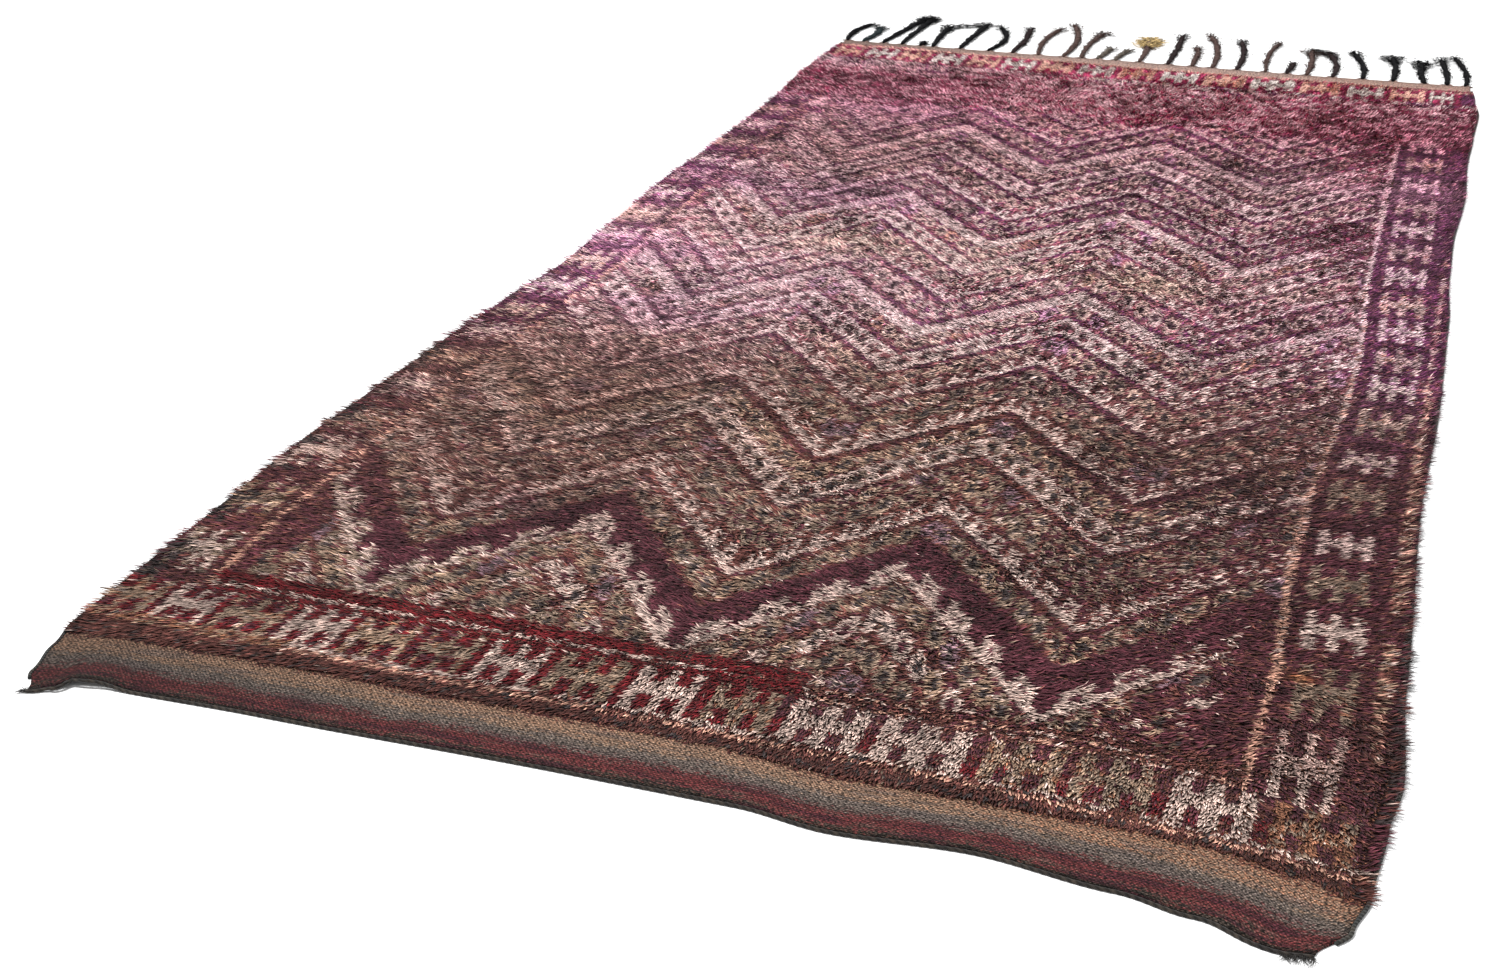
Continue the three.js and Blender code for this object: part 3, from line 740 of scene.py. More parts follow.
def corner_tones(u, v, tone, luck, rng):
    """The near part of the field: plummy to the right, plain at both corners, and dim in patches."""
    plummy = ramp(u, (0.60, 0.0), (0.86, 0.75))
    tone = np.where((tone == BROWN) & (v < 0.72) & (luck < plummy), PLUM, tone)
    lone_rosette = ((u - 0.868) / 0.014) ** 2 + ((v - 0.287) / 0.026) ** 2 < 1
    below_zigzag = (u > 0.795) & (v < 0.192 + 1.13 * (u - 0.757))
    bare = (v > 0.255) | (u > 0.865) | (luck < 0.5)
    right_corner = (below_zigzag & ~lone_rosette & bare) | ((u > 0.886) & (v < 0.46))
    left_corner = (u < 0.082) & (v < 0.392 - 1.5 * (u - 0.05))
    left_corner = left_corner & (v > 0.215) & ((v > 0.262) | (u < 0.062))
    tone = np.where(right_corner | left_corner, mixed(luck, (0.2, BROWN), rest=PLUM), tone)
    dim = ramp(u, (0.66, 0.0), (0.86, 0.45)) * ramp(v, (0.24, 0.0), (0.34, 1.0), (0.95, 1.0), (1.10, 0.2))
    dim = dim * np.where(soft_noise(u, v, 0.012, 36) > 0.46, 1.7, 0.35)
    pale = np.isin(tone, (LIGHT, CREAM, SAGE))
    return np.where(pale & (rng.random(u.shape) < dim), mixed(luck, (0.4, PLUM), rest=BROWN), tone)


def side_tones(u, v, tone, left_line, right_line, luck, rng):
    """The peach lines beside the borders, the rims past the combs, and the browner wools at the left."""
    worn = soft_noise(u, v, 0.030, 6)
    tone = np.where((np.abs(u - left_line) < 0.0024) & (worn > 0.12) & (luck < 0.94), PEACH, tone)
    tone = np.where((tone == LIGHT) & (u < 0.30) & (v < 0.70) & (luck > 0.62), SAGE, tone)
    wide = ramp(v, (0.1, 0.0038), (0.6, 0.0034), (0.8, 0.0026), (1.1, 0.0028), (2.2, 0.0026))
    line = (np.abs(u - right_line) < wide) & (worn > 0.06)
    tone = np.where(line, np.where(luck < v - 0.35, LIGHT, PEACH), tone)
    wide = ramp(v, (0.2, 0.0030), (0.3, 0.0060), (0.85, 0.0055), (0.95, 0.0026), (1.35, 0.0020))
    rim = (np.abs(u - RIGHT_RIM) < wide) & (soft_noise(v, 0 * v, 0.030, 5) > 0.25) & (v < 1.40)
    tone = np.where(rim, mixed(luck, (0.20, PEACH), (0.42, CREAM), (0.50, LIGHT), rest=BROWN), tone)
    tone = np.where(u > RIGHT_BRINK, mixed(luck, (0.55, DEEP), (0.8, BROWN), rest=PLUM), tone)
    spots = (u < -0.008) & (soft_noise(v, 0 * v, 0.022, 34) > 0.60) & (luck < 0.6)
    tone = np.where(spots, DEEP, tone)
    browner = (u < 0.12) & (v < 0.60) & (rng.random(u.shape) < 0.25)
    tone = np.where((tone == PLUM) & browner, BROWN, tone)
    share = ramp(u, (0.20, 0.45), (0.36, 0.0))
    share = share * ramp(v, (0.30, 0.0), (0.42, 1.0), (0.80, 1.0), (0.92, 0.0))
    ruddy = (tone == SAGE) & (rng.random(u.shape) < share)
    return np.where(ruddy, mixed(luck, (0.5, BROWN), rest=LIGHT), tone)


def near_comb_tones(u, v, tone, foot, top, luck, rng):
    """The near comb row, with red between its combs, and the dotted lines under it."""
    start, end, figure = comb_row(u, NEAR_COMBS)
    dark = mixed(luck, (0.3, BROWN), rest=PLUM)
    above = np.where(u < RED_COMBS_END, RED, dark)
    parting = np.minimum(u - start, end - u) < 0.006
    red_share = np.where(parting, 0.65, 0.16)
    red_share = np.select([u < RED_COMBS_END, u < 0.95], [0.85, red_share], 0.0)
    below = np.where(rng.random(u.shape) < red_share, RED, dark)
    notch = ramp(u, (0.25, 0.0134), (0.45, COMB_NOTCH))
    up = (v - foot) / (top - foot)
    comb = comb_tones(u - start, end - start, up, flecked(figure, luck), above, below, notch=notch)
    comb = np.where((comb == RED) & (u < 0.30) & (luck < 0.35), PLUM, comb)
    tone = np.where(v < top, comb, tone)
    dashes = (np.abs(v - foot + 0.0005) < 0.0026) | (np.abs(v - foot + 0.0085) < 0.0024)
    pale = np.where(v > foot - 0.004, LIGHT, PEACH)
    pale = np.where(u < 0.16, mixed(luck, (0.5, ORANGE), rest=CREAM), pale)
    lines = np.where(dashes & (luck < 0.8), pale, mixed(luck, (0.12, DEEP), rest=BROWN))
    return np.where(v < foot + 0.002, lines, tone)


def red_band_tones(u, v, tone, in_field, top, luck):
    """The red band behind the near combs, with its pale line, and beside it dotted lines on brown."""
    behind = in_field & (v >= top) & (v < RED_BAND_FAR)
    tone = np.where(behind & (u < RED_BAND_END), mixed(luck, (0.15, BROWN), rest=RED), tone)
    line = behind & (u < 0.52) & (np.abs(v - 0.1965) < 0.0026) & (luck < 0.8)
    tone = np.where(line, LIGHT, tone)
    brown = in_field & (v >= top) & (v < 0.197) & (u >= RED_BAND_END)
    tone = np.where(brown, mixed(luck, (0.3, PLUM), rest=BROWN), tone)
    near_dots = np.abs(v - top - 0.0045) < 0.0022
    far_dots = (np.abs(v - top - 0.0145) < 0.0020) & (u < 0.86)
    dots = brown & (near_dots | far_dots) & (luck < 0.75)
    return np.where(dots, mixed(luck, (0.4, PEACH), rest=LIGHT), tone)


def far_comb_tones(u, v, tone, foot):
    """The far comb row on burgundy, and the peach line past it."""
    start, end, figure = comb_row(u, FAR_COMBS)
    up = (v - foot) / FAR_COMB_HIGH
    comb = comb_tones(u - start, end - start, up, figure, MAGENTA, MAGENTA)
    tone = np.where(v > foot - 0.006, comb, tone)
    tone = np.where(np.abs(v - foot - 0.073) < 0.003, PEACH, tone)
    return np.where(v > foot + 0.076, MAGENTA, tone)


def far_end_tones(u, v, tone, foot, right_line, luck, rng):
    """Burgundy that has run over the far end, most of all at its two sides, and the pale flecks on it."""
    patch = 0.05 * swing(u, v, 0.05, 8) + 0.05 * swing(u, v, 0.012, 35)
    plummy = rng.random(u.shape) < ramp(v, (1.25, 0.0), (1.60, 0.5))
    tone = np.where((tone == BROWN) & plummy, PLUM, tone)
    at_right = (u > 0.80 + patch) & (u < right_line) & (v < 1.9)
    wine = at_right & (((v > 1.37) & (v < 1.50)) | (v > 1.66 + patch))
    wine = wine & (rng.random(u.shape) < ramp(u, (0.80, 0.10), (0.88, 0.42)))
    tone = np.where(wine, MAGENTA, tone)
    pale = (v > 1.98) & (v < foot) & (u > 0.2) & np.isin(tone, (SAGE, BROWN, ORANGE))
    tone = np.where(pale, mixed(luck, (0.45, LIGHT), rest=MAGENTA), tone)
    share = ramp(u, (0.18, 0.86), (0.30, 0.66), (0.45, 0.36), (0.70, 0.34), (0.84, 0.66), (0.90, 0.82))
    share = np.where(tone == LIGHT, share, 0.5 + 0.5 * share)
    burgundy = (v > 1.88 + patch) & (v < np.where(u < 0.25, 2.060, 2.120) + patch)
    tone = np.where(burgundy & (rng.random(u.shape) < share), MAGENTA, tone)
    flecks = soft_noise(u, v * 0.6, 0.0060, 33) > ramp(u, (0.2, 0.64), (0.8, 0.58))
    return np.where(flecks & (v > 1.90) & (v < foot - 0.006), LIGHT, tone)


def pile_tones(u, v, rng):
    """The tone of every knot: the field, and over it the borders, the comb rows and the burgundy.

    A lock's place is drawn most of the way to the middle of its knot, so that every edge has steps.
    """
    luck = knot_luck(u, v, 63)
    u, v = [(np.floor(at / KNOT) + 0.5) * KNOT * STEPPED + (1 - STEPPED) * at for at in (u, v)]
    left_line, right_line = ramp(v, *LEFT_LINE), ramp(v, *RIGHT_LINE)
    in_field = (u > left_line) & (u < right_line)
    foot, top = ramp(u, *NEAR_COMB_FOOT), ramp(u, *NEAR_COMB_TOP)
    far_foot = FAR_COMB_FOOT + FAR_COMB_RISE * np.clip((u - 0.7) / 0.3, 0, 1)
    tone = corner_tones(u, v, field_tones(u, v), luck, rng)
    for border in BORDERS:
        tone = border_tones(u, v, tone, border, luck)
    tone = side_tones(u, v, tone, left_line, right_line, luck, rng)
    tone = near_comb_tones(u, v, tone, foot, top, luck, rng)
    tone = red_band_tones(u, v, tone, in_field, top, luck)
    tone = far_comb_tones(u, v, tone, far_foot)
    return far_end_tones(u, v, tone, far_foot, right_line, luck, rng)


def lightness_and_painted_light(u, v, tone):
    """How light the wool is for its place, from smooth paler and darker areas. The lighter left border and
    middle are partly painted sheen, and the darker right near side is painted shade where the pile faces
    away.
    """
    # partly painted sheen: lighter at the left border, about 1.15 along
    shade = 0.98 + 0.24 * hill(u / 0.08, 2) * hill((v - 1.15) / 0.50, 2)
    # painted shade: darker at the right near side, where the pile faces away
    shade = shade - 0.17 * hill((1.0 - u) / 0.12, 2) * hill((v - 0.40) / 0.36, 2)
    at_right = ramp(v, (0.60, 0.00), (0.85, 0.12), (1.50, 0.12), (1.65, 0.02), (1.85, 0.26))
    shade = shade - at_right * hill((1.0 - u) / 0.10, 4)
    # partly painted sheen: lighter in the middle from 0.9 along
    in_middle = ramp(
        v, (0.90, 0.00), (1.05, 0.18), (1.25, 0.25), (1.40, 0.16), (1.70, 0.10), (1.85, 0.36), (2.00, 0.32)
    )
    shade = shade + in_middle * hill((0.53 - u) / 0.25, 4)
    shade = shade + np.where(tone == LIGHT, ramp(v, (1.2, 0.0), (1.6, 0.16)), 0.0)
    shade = shade - 0.14 * hill(u / 0.34, 4) * hill((v - 0.60) / 0.32, 4)
    shade = shade - 0.34 * hill((u - 0.05) / 0.14, 4) * hill((v - 0.185) / 0.045, 4)
    under_combs = np.clip((ramp(u, *NEAR_COMB_FOOT) - 0.011 - v) / 0.004, 0, 1)
    return shade * (1 - 0.34 * under_combs)


def wool_colours(u, v, tone, wools, rng):
    """The linear colour of each knot.

    Its tone's wool is multiplied by its row's dye lot and its change along the rug, which is partly
    painted sheen, drawn towards the shades of GLOWS near them, and multiplied by its stripe, its patch,
    its clump, its own luck and its place's lightness, which is partly painted sheen and painted shade.
    """
    colours = wools[tone] * lots_and_sheen(v + 0.05 * swing(u, v, 0.12, 14), tone)
    patchy = 0.5 + soft_noise(u, v, 0.02, 31)
    for at_u, at_v, reach, shade, strength in GLOWS:
        near = hill((u - at_u) / reach, 2) * hill((v - at_v) / (0.6 * reach), 2)
        near = np.clip(near * patchy, 0, 1) * strength
        target = linear(shade) * (0.20 + 0.90 * colours.mean(axis=-1, keepdims=True) / USUAL_LIGHT)
        colours = colours + (target - colours) * near[..., None]
    stripe = 0.84 + 0.32 * soft_noise(u * 0.5, v, 0.017, 11)
    patch = 0.88 + 0.24 * soft_noise(u, v, 0.09, 12)
    clump = 1 + ramp(v, (0.6, 0.60), (1.6, 1.05)) * swing(u, v * 0.7, 0.0080, 15)
    clump = clump * (1 + ramp(v, (0.3, 0.68), (1.0, 0.95)) * (knot_luck(u, v, 64) - 0.5))
    spread = ramp(v, (0.3, 0.27), (0.9, 0.36))
    own = np.exp(rng.normal(0, 1, u.shape) * spread - 0.5 * spread**2)
    colours = colours * (stripe * patch * clump * own * lightness_and_painted_light(u, v, tone))[..., None]
    return colours * np.minimum(1, BRIGHTEST / colours.max(axis=-1, keepdims=True))


def lots_and_sheen(v, tone):
    """How the dye changes along the rug: a share of the far lot, and its change along the rug, which is
    partly painted sheen.
    """
    far = np.clip((v - 0.72) / 0.28, 0, 1)[..., None]
    stops, *channels = np.array(DYE_AND_SHEEN_ALONG).T
    dye_and_sheen = np.stack([np.interp(v, stops, channel) for channel in channels], axis=-1)
    return (1 + (FAR_LOT[tone] - 1) * far) * (1 + (dye_and_sheen - 1) * DYE_AND_SHEEN_SHARES[tone][..., None])


def build(name, points, faces, maps=None, paint=None):
    """Makes a mesh object from plan points and whole arrays of faces, with nothing of it under the floor.

    Maps hold a place for each face corner, and paint a colour for each point.
    """
    mesh = bpy.data.meshes.new(name)
    corners = np.concatenate([part.reshape(-1) for part in faces])
    totals = np.concatenate([np.full(len(part), part.shape[1]) for part in faces])
    placed = points - np.array((*PLAN_MIDDLE, 0.0))
    placed[:, 2] = np.maximum(placed[:, 2], 0.0)
    mesh.vertices.add(len(placed))
    mesh.vertices.foreach_set("co", placed.astype(np.float32).reshape(-1))
    mesh.loops.add(len(corners))
    mesh.loops.foreach_set("vertex_index", corners.astype(np.int32))
    mesh.polygons.add(len(totals))
    mesh.polygons.foreach_set("loop_start", (np.cumsum(totals) - totals).astype(np.int32))
    mesh.update(calc_edges=True)
    for label, places in (maps or {}).items():
        layer = mesh.uv_layers.new(name=label)
        layer.uv.foreach_set("vector", places.astype(np.float32).reshape(-1))
    if paint is not None:
        layer = mesh.attributes.new("wool", "FLOAT_COLOR", "POINT")
        opaque = np.concatenate([paint, np.ones((len(paint), 1))], axis=1)
        layer.data.foreach_set("color", opaque.astype(np.float32).reshape(-1))
    mesh.shade_smooth()
    mesh.validate()
    piece = bpy.data.objects.new(name, mesh)
    bpy.context.scene.collection.objects.link(piece)
    return piece


def dress(piece, material, node):
    """Gives a piece its material and its body, and hides the solid that it stands for."""
    piece.data.materials.append(material)
    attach(piece, "root")
    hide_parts(node)
    return piece


def strands(centres, sides, tops, tips):
    """Three-sided strands: rings of a left, a right and a top point round each centre, and a tip.

    Centres, sides and tops are strand by ring by xyz. A side is half the width, to the right of the run.
    """
    count, rings = centres.shape[:2]
    ring_points = np.stack([centres - sides, centres + sides, centres + tops], axis=2)
    points = np.concatenate([ring_points.reshape(count, rings * 3, 3), tips[:, None]], axis=1)
    around = [(side, (side + 1) % 3) for side in range(3)]
    last = 3 * (rings - 1)
    walls = [(low + a, low + a + 3, low + b + 3, low + b) for low in range(0, last, 3) for a, b in around]
    ends = [(last + a, last + 3, last + b) for a, b in around]
    first = (np.arange(count) * (rings * 3 + 1))[:, None, None]
    walls, ends, foot = [
        (first + np.array(part)).reshape(-1, len(part[0])) for part in (walls, ends, [(0, 1, 2)])
    ]
    spot = lambda side, ring: (side / 3, ring / rings)
    wall_places = [
        (spot(s, r), spot(s, r + 1), spot(s + 1, r + 1), spot(s + 1, r))
        for r in range(rings - 1) for s in range(3)
    ]
    end_places = [(spot(s, rings - 1), ((s + 0.5) / 3, 1.0), spot(s + 1, rings - 1)) for s in range(3)]
    foot_places = [((0.0, 0.0), (0.5, 0.0), (0.25, 0.02))]
    places = np.concatenate([
        np.tile(np.reshape(part, (-1, 2)), (count, 1)) for part in (wall_places, end_places, foot_places)
    ])
    return points.reshape(-1, 3), (walls, np.concatenate([ends, foot])), places


def leaves(root, left, right, tip, corners, waist):
    """Locks of wool: four-cornered leaves, each from a root past a left and a right point to a tip.

    Corners are the faces as rows of three of the four points. The waist is how far along the lock's map
    its left and right points lie.
    """
    count = len(root)
    points = np.stack([root, left, right, tip], axis=1).reshape(-1, 3)
    threes = (np.arange(count)[:, None, None] * 4 + corners).reshape(-1, 3)
    spots = np.array([[0.5, 0.0], [0.0, waist], [1.0, waist], [0.5, 1.0]])[corners].reshape(1, -1, 2)
    return points, threes, np.broadcast_to(spots, (count, *spots.shape[1:]))


def bake_cells(places, count):
    """Gives every lock its own small cell of one square map, with a margin round it."""
    across = int(np.ceil(np.sqrt(count)))
    cell = np.stack([np.arange(count) % across, np.arange(count) // across], axis=1)[:, None, :]
    return ((cell + 0.15 + 0.7 * places) / across).reshape(-1, 2)


def along_strand(places, starts):
    """Places for the shader: round the lock, shifted for each one, and from its root to its tip."""
    shift = np.stack([starts, 0 * starts], axis=1)[:, None, :]
    return (places + shift).reshape(-1, 2)


def combed_down(y):
    """How far the pile's near rows are combed to the near end."""
    return np.clip((0.36 - y) / 0.06, 0, 1)


def flat_run(angle):
    """Level unit vectors: the run at an angle from the X axis, and the one to its right."""
    run = np.stack([np.cos(angle), np.sin(angle), 0 * angle], axis=-1)
    side = np.stack([np.sin(angle), -np.cos(angle), 0 * angle], axis=-1)
    return run, side


def tube(path, radii):
    """A closed tube along a path, with a radius for each ring and side, and each end closed by a point."""
    count, sides = radii.shape
    run = np.gradient(path, axis=0)
    run /= np.linalg.norm(run, axis=1, keepdims=True)
    side = np.cross(run, (0.0, 0.0, 1.0))
    side /= np.linalg.norm(side, axis=1, keepdims=True)
    up = np.cross(side, run)
    angle = (np.arange(sides) * 2 * np.pi / sides)[None, :, None]
    around = side[:, None] * np.cos(angle) + up[:, None] * np.sin(angle)
    rings = path[:, None] + radii[..., None] * around
    points = np.concatenate([rings.reshape(-1, 3), path[:1], path[-1:]])
    ring, turn = np.meshgrid(np.arange(count - 1), np.arange(sides), indexing="ij")
    ring, turn = ring.reshape(-1), turn.reshape(-1)
    a, b = ring * sides + turn, ring * sides + (turn + 1) % sides
    walls = np.stack([a, b, b + sides, a + sides], axis=1)
    rim, next_rim = np.arange(sides), (np.arange(sides) + 1) % sides
    last = (count - 1) * sides
    near = np.stack([np.full(sides, count * sides), next_rim, rim], axis=1)
    far = np.stack([np.full(sides, count * sides + 1), last + rim, last + next_rim], axis=1)
    length = np.concatenate([[0.0], np.cumsum(np.linalg.norm(np.diff(path, axis=0), axis=1))])
    low, high = length[ring], length[ring + 1]
    left, right = turn / sides, (turn + 1) / sides
    walls_u = np.stack([low, low, high, high], axis=1)
    walls_v = np.stack([left, right, right, left], axis=1)
    wall_places = np.stack([walls_u, walls_v], axis=-1).reshape(-1, 2)
    end_places = np.repeat([[0.0, 0.5], [length[-1], 0.5]], sides * 3, axis=0)
    return points, (walls, np.concatenate([near, far])), np.concatenate([wall_places, end_places])


def cord(path, along, radius, sides, pitch, depth, flatter=0.0):
    """A tube with ridges that wind round it once a pitch, as deep as a share of its radius.

    Its top and its underside are nearer to its middle by the share that it is flatter.
    """
    angle = np.arange(sides) * 2 * np.pi / sides
    ridge = 1 + depth * np.sin(2 * np.pi * along[:, None] / pitch + angle)
    return tube(path, radius * ridge * (1 - flatter * np.abs(np.sin(angle))))


def join(parts):
    """Puts several shapes of points, quads and triangles into one set of arrays, quads first."""
    points, quads, threes, quad_places, three_places, paints = [], [], [], [], [], []
    offset = 0
    for part_points, (part_quads, part_threes), places, paint in parts:
        points.append(part_points)
        quads.append(part_quads + offset)
        threes.append(part_threes + offset)
        quad_places.append(places[: part_quads.size])
        three_places.append(places[part_quads.size :])
        paints.append(np.broadcast_to(paint, (len(part_points), 3)))
        offset += len(part_points)
    faces = [np.concatenate(quads), np.concatenate(threes)]
    places = np.concatenate(quad_places + three_places)
    return np.concatenate(points), faces, places, np.concatenate(paints)


def loose_fibres(start, angle, length, width, rng):
    """Thin fibres that leave their start at an angle and bend sideways by the way squared.

    They rise over their start by 4 s less 3.2 s squared, at a share s of the way, times FIBRE_RISE.
    """
    run, side = flat_run(angle)
    turn = rng.normal(0, 0.5, len(start))
    place = lambda share: (
        start
        + run * (length * share)[:, None]
        + side * (turn * length * share**2)[:, None]
        + (0.0, 0.0, FIBRE_RISE * 4 * share * (1 - 0.8 * share))
    )
    way = np.arange(FIBRE_RINGS) / FIBRE_RINGS
    centres = np.stack([place(share) for share in way], axis=1)
    taper = (1 - 0.7 * way)[None, :, None]
    sides = side[:, None] * (width / 2)[:, None, None] * taper
    tops = np.array([0.0, 0.0, 1.0])[None, None] * (0.7 * width)[:, None, None] * taper
    return strands(centres, sides, tops, place(1.0))


class Socket:
    """One output of a shader tree. Sums and products of it add Math nodes."""

    def __init__(self, shader, output):
        self.shader = shader
        self.output = output

    def _math(self, operation, *values):
        settings = {"operation": operation}
        return self.shader.node("ShaderNodeMath", settings, dict(enumerate(values)))["Value"]

    def __add__(self, other):
        return self._math("ADD", self, other)

    def __sub__(self, other):
        return self._math("SUBTRACT", self, other)

    def __rsub__(self, other):
        return self._math("SUBTRACT", other, self)

    def __mul__(self, other):
        return self._math("MULTIPLY", self, other)

    def __truediv__(self, other):
        return self._math("DIVIDE", self, other)

    def __rtruediv__(self, other):
        return self._math("DIVIDE", other, self)

    def __pow__(self, other):
        return self._math("POWER", self, other)

    def __rpow__(self, other):
        return self._math("POWER", other, self)

    __radd__ = __add__
    __rmul__ = __mul__

    def sine(self):
        return self._math("SINE", self)

    def floor(self):
        return self._math("FLOOR", self)

    def size(self):
        return self._math("ABSOLUTE", self)

    def between(self, low, high):
        """0 below low and 1 above high, eased."""
        settings = {"interpolation_type": "SMOOTHSTEP"}
        sockets = {"Value": self, "From Min": low, "From Max": high}
        return self.shader.node("ShaderNodeMapRange", settings, sockets)["Result"]


class Shader:
    """A material's tree, with one method that adds any node."""

    def __init__(self, name, roughness, sheen):
        self.material = bpy.data.materials.new(name)
        self.material.use_nodes = True
        self.tree = self.material.node_tree
        self.surface = self.tree.nodes["Principled BSDF"]
        self.surface.inputs["Roughness"].default_value = roughness
        self.surface.inputs["Sheen Weight"].default_value = sheen
        self.surface.inputs["Sheen Roughness"].default_value = 0.6
        self.surface.inputs["Specular IOR Level"].default_value = 0.08

    def node(self, kind, settings=None, sockets=None):
        """Adds a node: its settings are set first, a ramp's stops among them, and then its sockets."""
        node = self.tree.nodes.new(kind)
        for name, value in (settings or {}).items():
            if name == "stops":
                self.set_stops(node.color_ramp, value)
            else:
                setattr(node, name, value)
        for name, value in (sockets or {}).items():
            target = node.inputs[name]
            if isinstance(value, Socket):
                self.tree.links.new(value.output, target)
            else:
                target.default_value = value
        return {output.name: Socket(self, output) for output in node.outputs if output.enabled}

    def set_stops(self, colour_ramp, stops):
        """Gives a ramp its stops, each a place and a screen colour."""
        while len(colour_ramp.elements) < len(stops):
            colour_ramp.elements.new(1.0)
        for element, (place, colour) in zip(colour_ramp.elements, stops):
            element.position = place
            element.color = (*linear(colour), 1.0)

    def graded(self, at, stops):
        """The colour of a ramp at a number."""
        return self.node("ShaderNodeValToRGB", {"stops": stops}, {"Fac": at})["Color"]

    def mix(self, share, colour, shade):
        """A colour with a share of a 0 to 255 screen colour in it, through the sockets for colours."""
        sockets = {0: share, 6: colour, 7: (*linear(shade), 1.0)}
        return self.node("ShaderNodeMix", {"data_type": "RGBA"}, sockets)["Result"]

    def scaled(self, colour, factor):
        """A colour times a number."""
        settings = {"operation": "SCALE"}
        return self.node("ShaderNodeVectorMath", settings, {0: colour, "Scale": factor})["Vector"]

    def noise(self, at, scale, detail=2.0, rough=0.6):
        """Noise with that number of spots in a metre."""
        sockets = {"Vector": at, "Scale": scale, "Detail": detail, "Roughness": rough}
        return self.node("ShaderNodeTexNoise", None, sockets)["Fac"]

    def streaks(self, at, across, along, detail=3.0, rough=0.6):
        """Noise with its own number of spots in a metre across and along."""
        sockets = {0: at, 1: (across, along, 1.0)}
        stretched = self.node("ShaderNodeVectorMath", {"operation": "MULTIPLY"}, sockets)["Vector"]
        return self.noise(stretched, 1.0, detail, rough)

    def place(self, label):
        """A piece's map, and its two numbers."""
        at = self.node("ShaderNodeUVMap", {"uv_map": label})["UV"]
        parts = self.node("ShaderNodeSeparateXYZ", None, {"Vector": at})
        return at, parts["X"], parts["Y"]

    def painted(self):
        """The colour of the wool itself."""
        return self.node("ShaderNodeAttribute", {"attribute_name": "wool"})["Color"]

    def everywhere(self, scale):
        """Fine noise over the piece as it lies, without a map."""
        return self.noise(self.node("ShaderNodeTexCoord")["Object"], scale)

    def finish(self, colour, light, height, distance, strength=0.6):
        """Puts a colour times a light on the surface, with a height as its bump."""
        self.tree.links.new(self.scaled(colour, light).output, self.surface.inputs["Base Color"])
        sockets = {"Strength": strength, "Distance": distance, "Height": height}
        bump = self.node("ShaderNodeBump", None, sockets)["Normal"]
        self.tree.links.new(bump.output, self.surface.inputs["Normal"])
        return self.material


def wool_material(name):
    """Wool in locks: the knot's own colour with painted shade towards the root, and fibres running along
    each lock.

    The light is the fibres' contrast times the flecks' times the depth from root to tip.
    """
    shader = Shader(name, 0.95, 0.04)
    at, _, up = shader.place("strand")
    fibres = shader.streaks(at, 3.2, 0.8, 2.0)
    fleck = shader.everywhere(420.0)
    # painted shade: darker towards each lock's root
    depth = (up * 1.4 - 0.12).between(0.0, 1.0) * (1.0 - ROOT_SHADE) + ROOT_SHADE
    contrast = ((fibres - 0.5) * 4.5 + 1.0).between(0.0, 2.0) * 1.6 + 0.12
    light = contrast * (fleck * 0.6 + 0.70) * depth + 0.06
    return shader.finish(shader.painted(), light, fibres, 0.0008)


def cloth_material(name, warp_pitch, weft_pitch):
    """Flat weave: stripes set out from the edges, with the weft's beats as staggered light and dark dots.

    A dot is the sine of the place across, half a turn on in every other row, and a ridge is the size of
    the sine of the place along. The light is their product times the mottles' and the grain's.
    """
    shader = Shader(name, 0.95, 0.03)
    at, x, y = shader.place("cloth")
    band = shader.node("ShaderNodeAttribute", {"attribute_name": "band"})["Fac"]
    wander = shader.streaks(at, 7.0, 2.0) - 0.5
    streak = shader.streaks(at, 18.0, 190.0, 3.0, 0.7) - 0.5
    grain = shader.streaks(at, 230.0, 330.0, 2.0, 0.7) - 0.5
    tuft = shader.streaks(at, 120.0, 260.0, 2.0) - 0.5
    place = (band + wander * 0.30 + streak * 0.40 + tuft * 0.50) / 3.0
    colour = shader.graded(place, STRIPES)
    row = (y / weft_pitch).floor()
    dot = ((x / warp_pitch + row * 0.5) * (2 * np.pi)).sine() * 0.5 + 0.5
    ridge = (y * (np.pi / weft_pitch)).sine().size()
    beat = dot * ridge
    mottle = shader.streaks(at, 24.0, 80.0)
    grain = (grain * 4.0 + 0.5).between(0.0, 1.0)
    to_right = (x * 4.0 - 1.2).between(0.0, 1.0)
    warm = shader.noise(at, 210.0).between(0.50 - to_right * 0.06, 0.66) * (to_right * 0.40 + 0.35)
    warm = warm * ((band - 0.56) * 12.0).between(0.0, 1.0)
    colour = shader.mix(warm, colour, (176, 116, 86))
    dyed = shader.streaks(at, 9.0, 75.0)
    low = 1.0 - band.between(0.30, 0.50)
    colour = shader.mix(dyed.between(0.48, 0.60) * low * 0.75, colour, (66, 30, 40))
    colour = shader.mix((0.44 - dyed).between(0.0, 0.10) * low * 0.5, colour, (96, 84, 76))
    greyer = dyed.between(0.50, 0.62) * (1.0 - low) * (1.0 - band.between(0.80, 0.90))
    colour = shader.mix(greyer * 0.6, colour, (104, 92, 88))
    darker = (x + 0.93).between(-0.2, 1.0) * 0.52 + 0.45
    light = ((beat**1.5) * 0.9 + 0.36) * (mottle + 0.45) * (grain * 1.8 + 0.10) * darker
    return shader.finish(colour, light, beat, 0.0016, 0.8)


